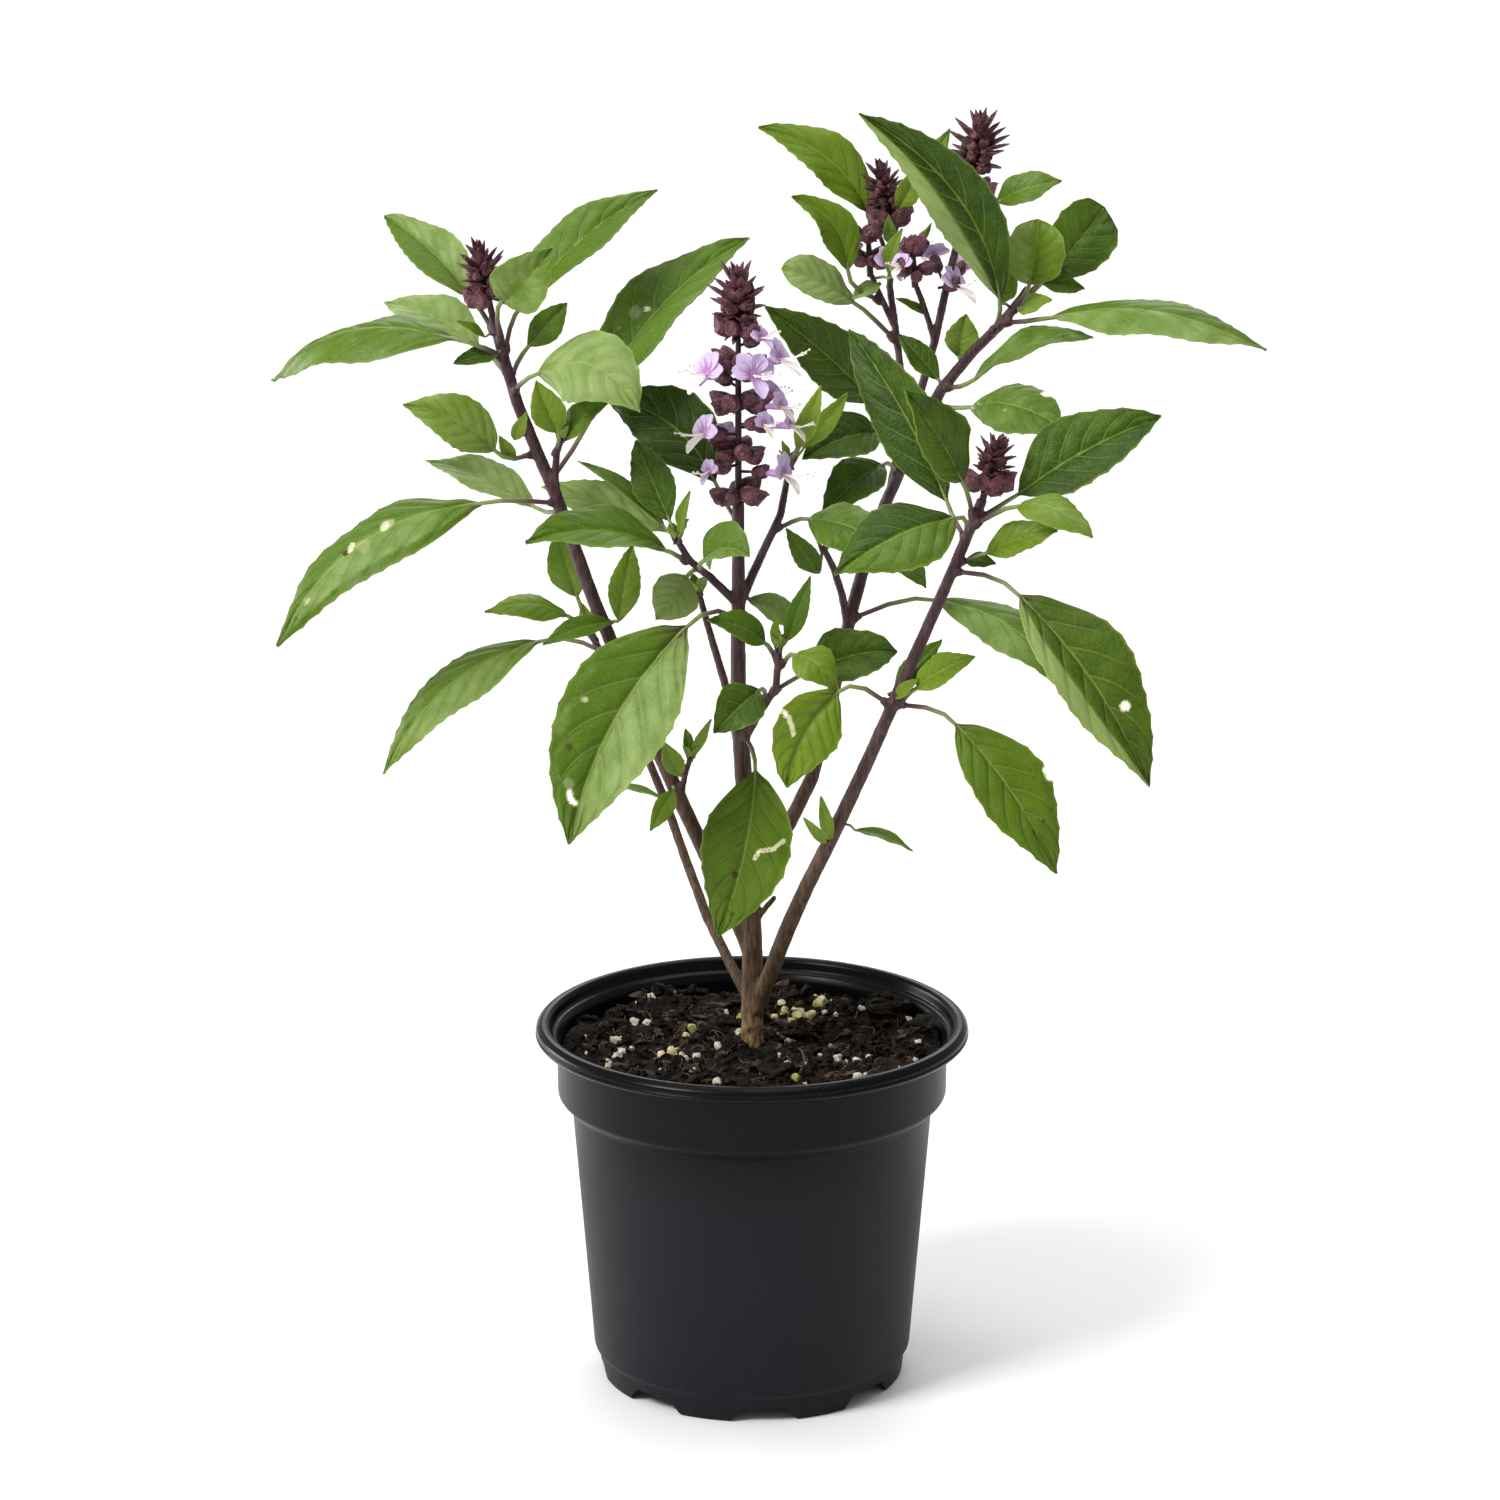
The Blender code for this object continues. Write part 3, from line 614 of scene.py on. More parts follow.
bark = Finish("bark_chips", Roughness=0.85)
bark_grain = bark.noise(1.8, 4, (1, 0.3, 0.6))
bark.set("Base Color", bark.blend(bark.smooth(bark_grain, 0.3, 0.7), (0.009, 0.005, 0.003),
                                  (0.06, 0.031, 0.014)))
bark.bump(bark_grain, 0.6, 0.8)

root = Finish("root_threads", Roughness=0.8)
root.set("Base Color", root.blend(root.noise(6, 2), (0.03, 0.017, 0.008), (0.2, 0.12, 0.055)))
root.bump(root.noise(0.7, 2), 0.15, 0.6)

BED = {"perlite_grains": (perlite, scatter(92, 4, (1.2, 3.6), rough=0.35, sink=0.3)),
       "bark_bits": (bark, scatter(150, 8, (2.0, 5.5), (1.3, 0.5, 0.4), rough=0.6)),
       "peat_crumbs": (peat, scatter(620, 15, (1.2, 4.0), (1, 0.9, 0.75), rough=0.8)),
       "root_fibres": (root, strands(190, 16, (2.5, 8), 0.17)),
       "peat_clods": (peat, scatter(38, 31, (4.5, 9.5), (1, 0.8, 0.6), rough=0.8, round_=3))}
for name, (finish, bm) in BED.items():
    piece(name, bm, [finish])

# Swollen grains stained by algae, most of them behind the trunk: x, y and size, and one root.
STAINED = [(14, 27, 3.8), (10, 31, 3.2), (18, 31, 2.8), (7, 28, 2.6), (21, 39, 4.0),
           (12, 23, 2.4), (4, 45, 2.4), (3, 36, 2.8), (-3, 24, 2.6), (-18, 12, 3.6), (-20, 9, 2.4),
           (-24, -10, 3.0), (-27, -13, 3.4), (-21, -12, 2.4), (13, -34, 3.4), (9, 36, 2.4),
           (15, 34, 2.2)]
stained = Finish("stained_grain", Roughness=0.7)
stained.set("Base Color", stained.blend(stained.smooth(stained.noise(9, 3), 0.42, 0.6),
                                        srgb(208, 192, 146), srgb(142, 150, 66)))
stained.bump(stained.noise(0.9, 3), 0.4, 0.7)
rng = random.Random(77)
bm = bmesh.new()
for x, y, size in STAINED:
    half = [size * rng.uniform(0.4, 0.6) for _ in range(3)]
    lump(bm, Vector((x, y, soil_height(x, y))), half, rng, rough=0.3, sink=0.15)
bare_root = [Vector((x, y, soil_height(x, y) + lift)) * MM for x, y, lift in
             ((9, 12, 0.4), (13, 7, 1.6), (13, -2, 1.2), (15, -10, 1.8), (16, -19, 0.2))]
tube(bm, bare_root, [radius * MM for radius in (0.4, 0.35, 0.3, 0.28, 0.16)], 6, 1)
piece("stained_grains", bm, [stained, root])
print("soil bed:", len(BED), "kinds, and", len(STAINED), "stained grains")

# %% [markdown]
# ## Stems
# Basil's stems are square and slightly ridged, swollen at each joint where a pair of leaves grew,
# and woody and brown low down but purple above. Tubes stuck together would show seams where they
# branch. So the solid's own stems are copied, a collar is put round each joint, and a fine
# voxel remesh melts everything into one skin, which is then smoothed, as grown wood is.

# %% Leaf solids are read as rings
def leaf_rings(node):
    """The rings of four corners of a leaf's solid, from the foot of its stalk to its tip."""
    bm = merged_copy(node)
    for start in bm.verts:
        seen, levels = {start}, [[start]]
        while levels[-1]:
            step = []
            for edge in (edge for vert in levels[-1] for edge in vert.link_edges):
                for vert in edge.verts:
                    if vert not in seen:
                        seen.add(vert)
                        step.append(vert)
            levels.append(step)
        levels.pop()
        if len(levels) == 11 and all(len(level) == 4 for level in levels[1:]):
            rings = [[vert.co.copy() for vert in level] for level in reversed(levels)]
            bm.free()
            return rings
    raise ValueError(node + " is not made of rings")


def middle(points):
    return sum(points, Vector()) / len(points)


LEAF_NODES = sorted(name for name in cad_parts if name.startswith("leaf_"))
RINGS = {name: leaf_rings(name) for name in LEAF_NODES}
STALKS = {name: [middle(ring) for ring in rings[:3]] for name, rings in RINGS.items()}
print("leaves:", len(LEAF_NODES), "solids read")

# %% Melt the stems into one skin
VOXEL = 0.5 * MM
LARGE_LEAF = 0.03


def joint_collars(bm):
    """Two small balls where each leaf stalk leaves the stem."""
    for name, stalk in STALKS.items():
        back = (stalk[0] - stalk[1]).normalized()
        large = 1.0 if (RINGS[name][-1][0] - stalk[2]).length > LARGE_LEAF else 0.75
        for reach, size in ((1.3, 1.5), (-0.3, 1.15)):
            bmesh.ops.create_icosphere(bm, subdivisions=2, radius=size * large * MM,
                                       matrix=Matrix.Translation(stalk[0] + back * reach * MM))


def make_stems():
    """The stems as one smooth skin, ridged above and knobbly at the woody foot."""
    bm = merged_copy("stems")
    joint_collars(bm)
    skin = as_object("stem_skin", bm)
    melt = skin.modifiers.new("melt", "REMESH")
    melt.mode, melt.voxel_size = "VOXEL", VOXEL
    result = evaluated(skin)
    bpy.data.objects.remove(skin)
    for _ in range(3):
        bmesh.ops.smooth_vert(result, verts=result.verts, factor=0.5, use_axis_x=True,
                              use_axis_y=True, use_axis_z=True)
    result.normal_update()
    moves = {}
    for vert in result.verts:
        point = vert.co / MM
        woody = max(0.0, min(1.0, (125 - point.z) / 20))
        angle = math.atan2(vert.normal.y, vert.normal.x)
        ridge = 0.07 * math.cos(4 * angle + 0.5) * (1 - woody)
        rough = noise.noise(Vector((point.x / 1.5, point.y / 1.5, point.z / 7)))
        knobs = noise.noise(point / 3.2) * 0.45 * woody
        moves[vert] = vert.normal * (0.16 + ridge + rough * (0.1 + 0.2 * woody) + knobs) * MM
    for vert, move in moves.items():
        vert.co += move
    return result


stems = make_stems()
print("stems:", len(stems.faces), "faces")

# %% [markdown]
# ## Stem finish
# The colour runs with height: tan bark at the soil, a grey-brown wood with long pale lines, and
# a purple skin on the young growth. Noise that is stretched upwards gives the long lines, since
# fibres run along the stem, and the height of the point on the piece picks the colour.

# %% Colour the stems by height
skin = Finish("purple_stem", Roughness=0.5, Specular_IOR_Level=0.22)
height = skin.node("SeparateXYZ", None, {0: skin.place()}, 2)
lines = skin.noise(1.1, 3, (1, 1, 0.2))
patch = skin.noise(9, 3)
young = skin.smooth(height + patch * 50, 150, 265)
wood = skin.blend(skin.smooth(lines, 0.3, 0.7), srgb(66, 50, 38), srgb(104, 83, 61))
fresh = skin.blend(skin.smooth(lines, 0.3, 0.7), srgb(50, 31, 37), srgb(80, 55, 59))
fresh = skin.blend(skin.smooth(patch, 0.56, 0.72) * 0.3, fresh, srgb(98, 92, 58))
stem_colour = skin.blend(young, wood, fresh)
tan = skin.blend(skin.smooth(skin.noise(1.6, 4, (1, 1, 0.5)), 0.3, 0.7), srgb(64, 46, 30),
                 srgb(164, 134, 96))
stem_colour = skin.blend(skin.smooth(height, 121, 108), stem_colour, tan)
skin.set("Base Color", stem_colour)
skin.set("Roughness", 0.62 - young * 0.14)
skin.bump(lines * 0.7 + skin.noise(0.8, 2) * 0.3, 0.3, 0.6)
piece("stem_skin", stems, [skin], ["stems"])

# %% [markdown]
# ## How a leaf is shaped
# A basil blade is a thin sheet: a sunken midrib and five to seven pairs of side veins that bend
# forward, bulges between them, a few teeth on the outer half of the edge, and a slow wave along
# it. It could be a flat card with a cut-out, but then it would look flat from every side.
# A grid is laid along the spine that the solid gives, so the leaf stays in its place, and each
# vertex is moved by where it lies across and along the blade. The same two numbers become the UV
# map, so the finish can paint the veins where the relief has them.

# %% Read a blade's spine, width and fold
UPWARD = Vector((0, -0.6, 0.8))
VEIN_PAIRS = 6.5
VEIN_SWEEP = 0.27
VEIN_CURVE = 1.15


class Blade:
    """The spine of a leaf as lists, one entry for each ring from the stalk to the tip."""

    def __init__(self, centres, sides, normals, halves, rises):
        self.centres, self.sides, self.normals = centres, sides, normals
        self.halves, self.rises = halves, rises
        steps = [0.0]
        for a, b in zip(centres, centres[1:]):
            steps.append(steps[-1] + (b - a).length)
        self.length = steps[-1]
        self.shares = [step / self.length for step in steps]

    def at(self, values, share):
        """The smooth curve through a list of values, at a share of the length."""
        t = self.shares
        j = max(0, min(len(t) - 2, sum(1 for s in t if s <= share) - 1))
        a, b = values[j], values[j + 1]
        gap = t[j + 1] - t[j]
        x = (share - t[j]) / gap
        out = (b - values[max(j - 1, 0)]) * (gap / (t[j + 1] - t[max(j - 1, 0)]))
        k = min(j + 2, len(t) - 1)
        into = (values[k] - a) * (gap / (t[k] - t[j]))
        return (a * (2 * x ** 3 - 3 * x * x + 1) + out * (x ** 3 - 2 * x * x + x)
                + b * (3 * x * x - 2 * x ** 3) + into * (x ** 3 - x * x))

    def frame(self, share):
        """The turn whose x goes across the blade, y along it and z out of its upper side."""
        side = self.at(self.sides, share).normalized()
        normal = self.at(self.normals, share).normalized()
        return Matrix((side, normal.cross(side), normal)).transposed()


def blade_of(node):
    """Measure the blade of a leaf's solid: its midrib, half widths and how its edges rise."""
    rings = RINGS[node][3:10]
    pairs = [(0, 1), (0, 2), (0, 3), (1, 2), (1, 3), (2, 3)]
    spans = [max((ring[i] - ring[j]).length for i, j in pairs) for ring in rings]
    widest = spans.index(max(spans))
    i, j = max(pairs, key=lambda p: (rings[widest][p[0]] - rings[widest][p[1]]).length)
    side = (rings[widest][j] - rings[widest][i]).normalized()
    found = {}
    for indices in (range(widest, -1, -1), range(widest, 7)):
        last = side
        for n in indices:
            ring = rings[n]
            i, j = max(pairs, key=lambda p: abs((ring[p[0]] - ring[p[1]]).dot(last)))
            if (ring[j] - ring[i]).dot(last) < 0:
                i, j = j, i
            rest = [ring[k] for k in range(4) if k not in (i, j)]
            last = (ring[j] - ring[i]).normalized()
            up = (rest[0] - rest[1]).normalized()
            found[n] = [ring[i], ring[j], middle(rest), last, up]
    up = found[widest][4]
    up = up if up.dot(UPWARD) > 0 else -up
    centres, sides, normals, halves, rises = [], [], [], [], []
    for n in range(7):
        left, right, centre, across, normal = found[n]
        normal = normal if normal.dot(up) > 0 else -normal
        centres.append(centre)
        sides.append(across)
        normals.append(normal)
        halves.append((right - left).length / 2)
        rises.append((middle([left, right]) - centre).dot(normal))
    ahead = centres[-1] - centres[0]
    if ahead.cross(normals[3]).dot(sides[3]) < 0:
        sides = [-s for s in sides]
    centres.append(RINGS[node][10][0])
    return Blade(centres, sides + [sides[-1]], normals + [normals[-1]], halves + [0.0],
                 rises + [0.0])


def blade_between(foot, tip, width, faces, bow=0.12, fold=0.16):
    """A small blade from its two ends, in metres, with the outline of the large ones."""
    foot, tip = Vector(foot), Vector(tip)
    ahead = tip - foot
    side = ahead.cross(Vector(faces)).normalized()
    normal = side.cross(ahead).normalized()
    outline = ((0, 0.1), (0.1, 0.45), (0.25, 0.86), (0.4, 1), (0.55, 0.95), (0.72, 0.7),
               (0.88, 0.34), (1, 0))
    centres, halves = [], []
    for share, wide in outline:
        centres.append(foot + ahead * share
                       + normal * ahead.length * bow * math.sin(math.pi * share))
        halves.append(width / 2 * wide)
    return Blade(centres, [side] * 8, [normal] * 8, halves, [half * fold for half in halves])


print("spine of", LEAF_NODES[0], round(blade_of(LEAF_NODES[0]).length / MM, 1), "mm")

# %% [markdown]
# ## What sets one leaf apart
# No two leaves are alike: they differ in how dark and how young they are, and in their holes and
# scars. Many also carry painted light on one half, and a few painted shade, for the sheen and
# shade of the fold. Each leaf could have its own finish. Here a leaf has a short list of marks
# instead, placed by shares of its width and length, which end up as holes in the sheet or as
# numbers on its vertices.

# %% Veins, soft windows and the marks of a leaf
def side_veins(across, along):
    """How near a point is to a side vein, 1 on it and 0 between two."""
    phase = (along - VEIN_SWEEP * abs(across) ** VEIN_CURVE) * VEIN_PAIRS
    phase += 0.2 if across > 0 else 0
    return abs(math.cos(math.pi * phase)) ** 6


def window(value, low, high, soft=0.1):
    """1 between low and high, falling off on both sides."""
    def ramp(x):
        x = max(0.0, min(1.0, x))
        return x * x * (3 - 2 * x)
    return ramp((value - low) / soft + 0.5) * ramp((high - value) / soft + 0.5)


class Marks:
    """What sets one leaf apart, placed by its shares across (-1 to 1) and along the blade.

    A strip is (from, to, lighter): a band across the blade made lighter, or darker where lighter is
    below 0, as painted light and shade. A hole is (path, radius in mm) and a scar (across, along,
    radius in mm, kind), where the kind is above 0 for pale and below 0 for dead brown.
    """

    def __init__(self, tint=0.5, young=0.0, strips=(), holes=(), scars=(), flush=0.5, relief=1.0):
        self.tint, self.young, self.strips, self.relief = tint, young, strips, relief
        self.holes, self.scars, self.flush = holes, scars, flush


def leaf_layers(bm):
    """The numbers that each vertex of a leaf carries for its finish."""
    return {name: bm.verts.layers.float.get(name) or bm.verts.layers.float.new(name)
            for name in ("tint", "young", "scar", "flush")}


print("a side vein crosses", round(side_veins(0.5, 0.5), 2), "at the middle of a half")

# %% [markdown]
# ## The sheet of a leaf
# The grid's rows run across the blade and its columns along it. Each vertex goes to its place on
# the spine and is then moved a little: outwards for a tooth, down for a vein, up for a bulge, and
# up and down for the slow wave of the edge.

# %% Move a grid into the shape of a leaf
def add_blade(bm, blade, marks, seed, cell=0.75):
    """Grow the two-sided sheet of a blade in a bmesh."""
    rng = random.Random(seed)
    layers, uv = leaf_layers(bm), bm.loops.layers.uv.verify()
    width, length = max(blade.halves) * 2 / MM, blade.length / MM
    columns = 2 * max(4, round(width / cell / 2))
    rows = max(12, round(length / cell))
    old_verts, old_faces = set(bm.verts), set(bm.faces)
    bmesh.ops.create_grid(bm, x_segments=columns, y_segments=rows, size=1)
    sheet = [vert for vert in bm.verts if vert not in old_verts]
    faces = [face for face in bm.faces if face not in old_faces]
    teeth = max(3, length / (rng.uniform(0.9, 1.15) * max(2.4, min(5.6, width * 0.26))))
    tooth = min(1.15, 0.055 * width)
    deep = min(1.0, width / 18) * marks.relief
    wave = 0.05 * width / 2 + 0.1
    waves = [(rng.uniform(1.5, 2.6), rng.uniform(0, TAU), rng.uniform(0.6, 1)) for _ in range(4)]
    shift = Vector((rng.random(), rng.random(), rng.random())) * 40
    place, flat = {}, {}
    for vert in sheet:
        along = (vert.co.y + 1) / 2
        across = math.copysign(abs(vert.co.x) ** 0.9, vert.co.x)
        a = abs(across)
        half = max(blade.at(blade.halves, along), 0) / MM
        half *= min(1.0, 0.2 + 0.8 * (along / 0.06) ** 0.7)
        place[vert], flat[vert] = (across, along), Vector((across * half, along * length))
        phase = along * teeth + (0.35 if across > 0 else 0.0)
        saw = (phase % 1.0) ** 1.4 - 0.35
        x = across * half
        x += math.copysign(tooth * saw * a ** 8 * window(along, 0.28, 0.95), across)
        vein = side_veins(across, along) * window(a, 0.05, 0.92) * (1 - 0.5 * a)
        z = blade.at(blade.rises, along) / MM * a ** 1.15
        rib = 0.6 * math.exp(-(a * half / 0.8) ** 2) * window(along, 0, 0.93)
        z -= deep * (0.5 * vein + rib)
        z += 0.45 * deep * window(a, 0.15, 0.85, 0.3) * window(along, 0.05, 0.9)
        for turns, start, size in waves[:2] if across > 0 else waves[2:]:
            swing = math.sin(TAU * turns * along + start)
            z += wave * size * a * a * swing * window(along, 0.1, 0.97)
        z += noise.noise(Vector((across * 1.3, along * 3.0, 0)) + shift) * 0.05 * width * a
        vert.co = blade.at(blade.centres, along) + blade.frame(along) @ Vector((x, 0, z)) * MM
        # Painted light and shade: each strip makes a band across the blade lighter or darker.
        vert[layers["tint"]] = marks.tint + sum(lighter * window(across, low, high, 0.16)
                                                for low, high, lighter in marks.strips)
        vert[layers["young"]] = marks.young
        vert[layers["flush"]] = marks.flush * math.exp(-along * 14)
        for spot_across, spot_along, size, kind in marks.scars:
            gap = math.hypot((across - spot_across) * half, (along - spot_along) * length)
            gap *= 1 + 0.9 * noise.noise(Vector((across * 5, along * 14, 3)) + shift)
            if gap < size:
                vert[layers["scar"]] = kind * min(1, 2.2 * (1 - gap / size))
    for face in faces:
        for loop in face.loops:
            across, along = place[loop.vert]
            loop[uv].uv = ((across + 1) / 2, along)
    for path, radius in marks.holes:
        path = [Vector((across * blade.at(blade.halves, along) / MM, along * length))
                for across, along in path]
        faces = bite(bm, faces, flat, path, radius, blade, layers["scar"])
    thicken(bm, faces)


print("sheets can be grown")

# %% [markdown]
# ## Holes, thickness and stalks
# A beetle leaves a hole with a smooth edge and a pale rim. Taking out whole faces would leave
# steps, so the edge that is left is drawn onto the outline of the hole. The sheet is then made
# as thick as a leaf by extruding it, and a stalk runs from inside the stem and on beneath
# the blade, where it stands out as the midrib.

# %% Bite holes, thicken the sheet and add the stalk
HALF_FACE, PALE_RIM, LEAF_THICK = 0.12, 0.45, 0.34


def from_path(spot, path):
    """The shortest way from a path to a spot, as a vector."""
    ways = [spot - path[0]]
    for a, b in zip(path, path[1:]):
        run = b - a
        share = max(0.0, min(1.0, (spot - a).dot(run) / run.length_squared))
        ways.append(spot - a - run * share)
    return min(ways, key=lambda way: way.length)


def bite(bm, faces, flat, path, radius, blade, scar):
    """Take out the faces near a path and draw the edge that is left onto a smooth outline."""
    ways = {vert: from_path(flat[vert], path) for face in faces for vert in face.verts}
    inside = {vert for vert, way in ways.items() if way.length < radius + HALF_FACE}
    gone = {face for face in faces if all(vert in inside for vert in face.verts)}
    faces = [face for face in faces if face not in gone]
    bmesh.ops.delete(bm, geom=list(gone), context="FACES")
    for vert in {vert for face in faces for vert in face.verts}:
        way = ways[vert]
        if way.length < radius + PALE_RIM:
            vert[scar] = max(vert[scar], 0.75)
        if vert in inside and way.length > 0.01:
            move = way.normalized() * (radius - way.length)
            turn = blade.frame(flat[vert].y * MM / blade.length)
            vert.co += turn @ Vector((move.x, move.y, 0)) * MM
    return faces


def thicken(bm, faces, thickness=LEAF_THICK, under=1):
    """Extrude the sheet downwards; the new layer below gets the underside's finish."""
    sheet = list({vert for face in faces for vert in face.verts})
    bmesh.ops.remove_doubles(bm, verts=sheet, dist=0.00002)
    faces = [face for face in faces if face.is_valid]
    for face in faces:
        face.normal_update()
    for vert in {vert for face in faces for vert in face.verts}:
        vert.normal_update()
    down = {tuple(vert.co): -vert.normal for face in faces for vert in face.verts}
    made = bmesh.ops.extrude_face_region(bm, geom=faces, use_keep_orig=True)["geom"]
    for part in made:
        if isinstance(part, bmesh.types.BMVert):
            part.co += down[tuple(part.co)] * thickness * MM
        elif isinstance(part, bmesh.types.BMFace):
            part.material_index = under
    shell = {face for part in made if isinstance(part, bmesh.types.BMVert)
             for face in part.link_faces} | set(faces)
    bmesh.ops.recalc_face_normals(bm, faces=list(shell))


def add_stalk(bm, blade, stalk, marks, thick=0.74):
    """The stalk from inside the stem, which runs on under the blade as its midrib."""
    layers = leaf_layers(bm)
    back = (stalk[0] - stalk[1]).normalized()
    path = [stalk[0] + back * 1.2 * MM] + list(stalk)
    radii = [1.25, 0.95, 1.0, 0.95]
    sunk = 0.6 * min(1.0, max(blade.halves) / MM / 9)
    for share in (0.015, 0.06, 0.12, 0.2, 0.3, 0.4, 0.5, 0.6, 0.7, 0.8, 0.9):
        radius = mix(0.85, 0.25, share ** 0.7)
        down = (sunk + 0.25) * min(1, 0.25 + share * 6) + 0.6 * radius * thick
        point = blade.at(blade.centres, share)
        path.append(point - blade.at(blade.normals, share).normalized() * down * MM)
        radii.append(radius)
    faces = tube(bm, path, [radius * thick * MM for radius in radii], 8, 2)
    reach = (path[4] - path[0]).length
    for vert in {vert for face in faces for vert in face.verts}:
        gap = (vert.co - path[0]).length / max(reach, 0.004)
        vert[layers["flush"]] = max(0.0, 1 - gap) * (0.4 + marks.flush)


print("a leaf's sheet is", LEAF_THICK, "mm thick")

# %% [markdown]
# ## Leaf finishes
# The upper skin is glossy green with paler veins and a mesh of tiny ones; the underside is a
# dull grey-green with raised ribs. Both read the UV map, so their lines follow every bend. How
# dark, how young and how scarred a leaf is, and the painted light and shade on a band of it,
# come from numbers stored on its vertices, so one finish serves every leaf of the plant.

# %% Paint the two sides of a leaf
def leaf_finish(name, dark, middle_green, pale, vein_colour, vein_share, gloss):
    """The skin of one side of a leaf, with veins where the relief has them."""
    leaf = Finish(name, Roughness=gloss, Specular_IOR_Level=0.2)
    across = leaf.node("SeparateXYZ", None, {0: leaf.node("UVMap")}, 0) * 2 - 1
    along = leaf.node("SeparateXYZ", None, {0: leaf.node("UVMap")}, 1)
    a = abs(across)
    tint, young = leaf.attribute("tint"), leaf.attribute("young")
    scar, flush = leaf.attribute("scar"), leaf.attribute("flush")
    phase = (along - VEIN_SWEEP * a ** VEIN_CURVE) * VEIN_PAIRS + 0.2 * across.positive()
    gap = abs((phase + 0.5).fraction() - 0.5)
    wobble = leaf.noise(3, 2) * 0.03
    vein = leaf.smooth(gap - wobble, 0.05, 0.004) * leaf.smooth(a, 0.95, 0.45)
    # Painted shade: the blade is darkened a little in a band along each side vein's groove.
    painted_groove_shade = leaf.smooth(gap - wobble, 0.26, 0.03) * leaf.smooth(a, 1.0, 0.5)
    rib = leaf.smooth(a, 0.045, 0.012)
    net = leaf.smooth(leaf.cells(1.5, "DISTANCE_TO_EDGE"), 0.1, 0.0)
    cloud = leaf.noise(8, 3)
    fine = leaf.noise(1.3, 3)
    # tint carries the leaf's own tone and the painted light and shade of its strips.
    shade = tint + (cloud - 0.5) * 0.5 + (fine - 0.5) * 0.12
    green = leaf.blend(leaf.smooth(shade, 0.05, 0.5), dark, middle_green)
    green = leaf.blend(leaf.smooth(shade, 0.5, 1.0), green, pale)
    green = leaf.blend(young * 0.75, green, srgb(124, 150, 26))
    # Darken along the vein grooves: painted shade.
    green = leaf.scale(green, 1 - painted_groove_shade * 0.11)
    green = leaf.blend(net * 0.1, green, vein_colour)
    green = leaf.blend(leaf.smooth(a, 0.93, 1.0) * 0.3, green, vein_colour)
    green = leaf.blend((vein * 0.55).most(rib) * vein_share, green, vein_colour)
    green = leaf.blend(leaf.smooth(flush, 0.05, 0.8) * 0.7, green, srgb(96, 58, 66))
    freckle = leaf.smooth(leaf.cells(5.5), 0.08, 0.03) * leaf.smooth(leaf.noise(14), 0.54, 0.62)
    green = leaf.blend(freckle * 0.6, green, srgb(92, 84, 44))
    green = leaf.blend(leaf.smooth(scar, 0.1, 0.8), green, srgb(214, 214, 170))
    green = leaf.blend(leaf.smooth(scar, -0.1, -0.8), green, srgb(74, 56, 30))
    leaf.set("Base Color", green)
    leaf.set("Roughness", gloss + (fine - 0.5) * 0.12 + abs(scar) * 0.3 + vein * 0.05)
    relief = 1 - vein * 0.8 - net * 0.25
    leaf.bump(relief + fine * 0.3, 0.3, 0.6)
    return leaf


upper_side = leaf_finish("leaf_upper", srgb(38, 64, 4), srgb(76, 106, 16), srgb(138, 160, 92),
                         srgb(150, 170, 76), 0.42, 0.42)
under_side = leaf_finish("leaf_under", srgb(84, 108, 48), srgb(112, 136, 66), srgb(156, 178, 116),
                         srgb(170, 190, 124), 0.5, 0.6)
stalk_skin = Finish("leaf_stalk", Roughness=0.5)
stalk_green = stalk_skin.blend(stalk_skin.noise(3, 2, (1, 1, 0.4)), srgb(104, 120, 60),
                               srgb(134, 150, 84))
stalk_skin.set("Base Color", stalk_skin.blend(
    stalk_skin.smooth(stalk_skin.attribute("flush"), 0.15, 0.75), stalk_green, srgb(88, 50, 62)))
stalk_skin.bump(stalk_skin.noise(0.8, 2, (1, 1, 0.3)), 0.15, 0.5)
LEAF_FINISHES = [upper_side, under_side, stalk_skin]
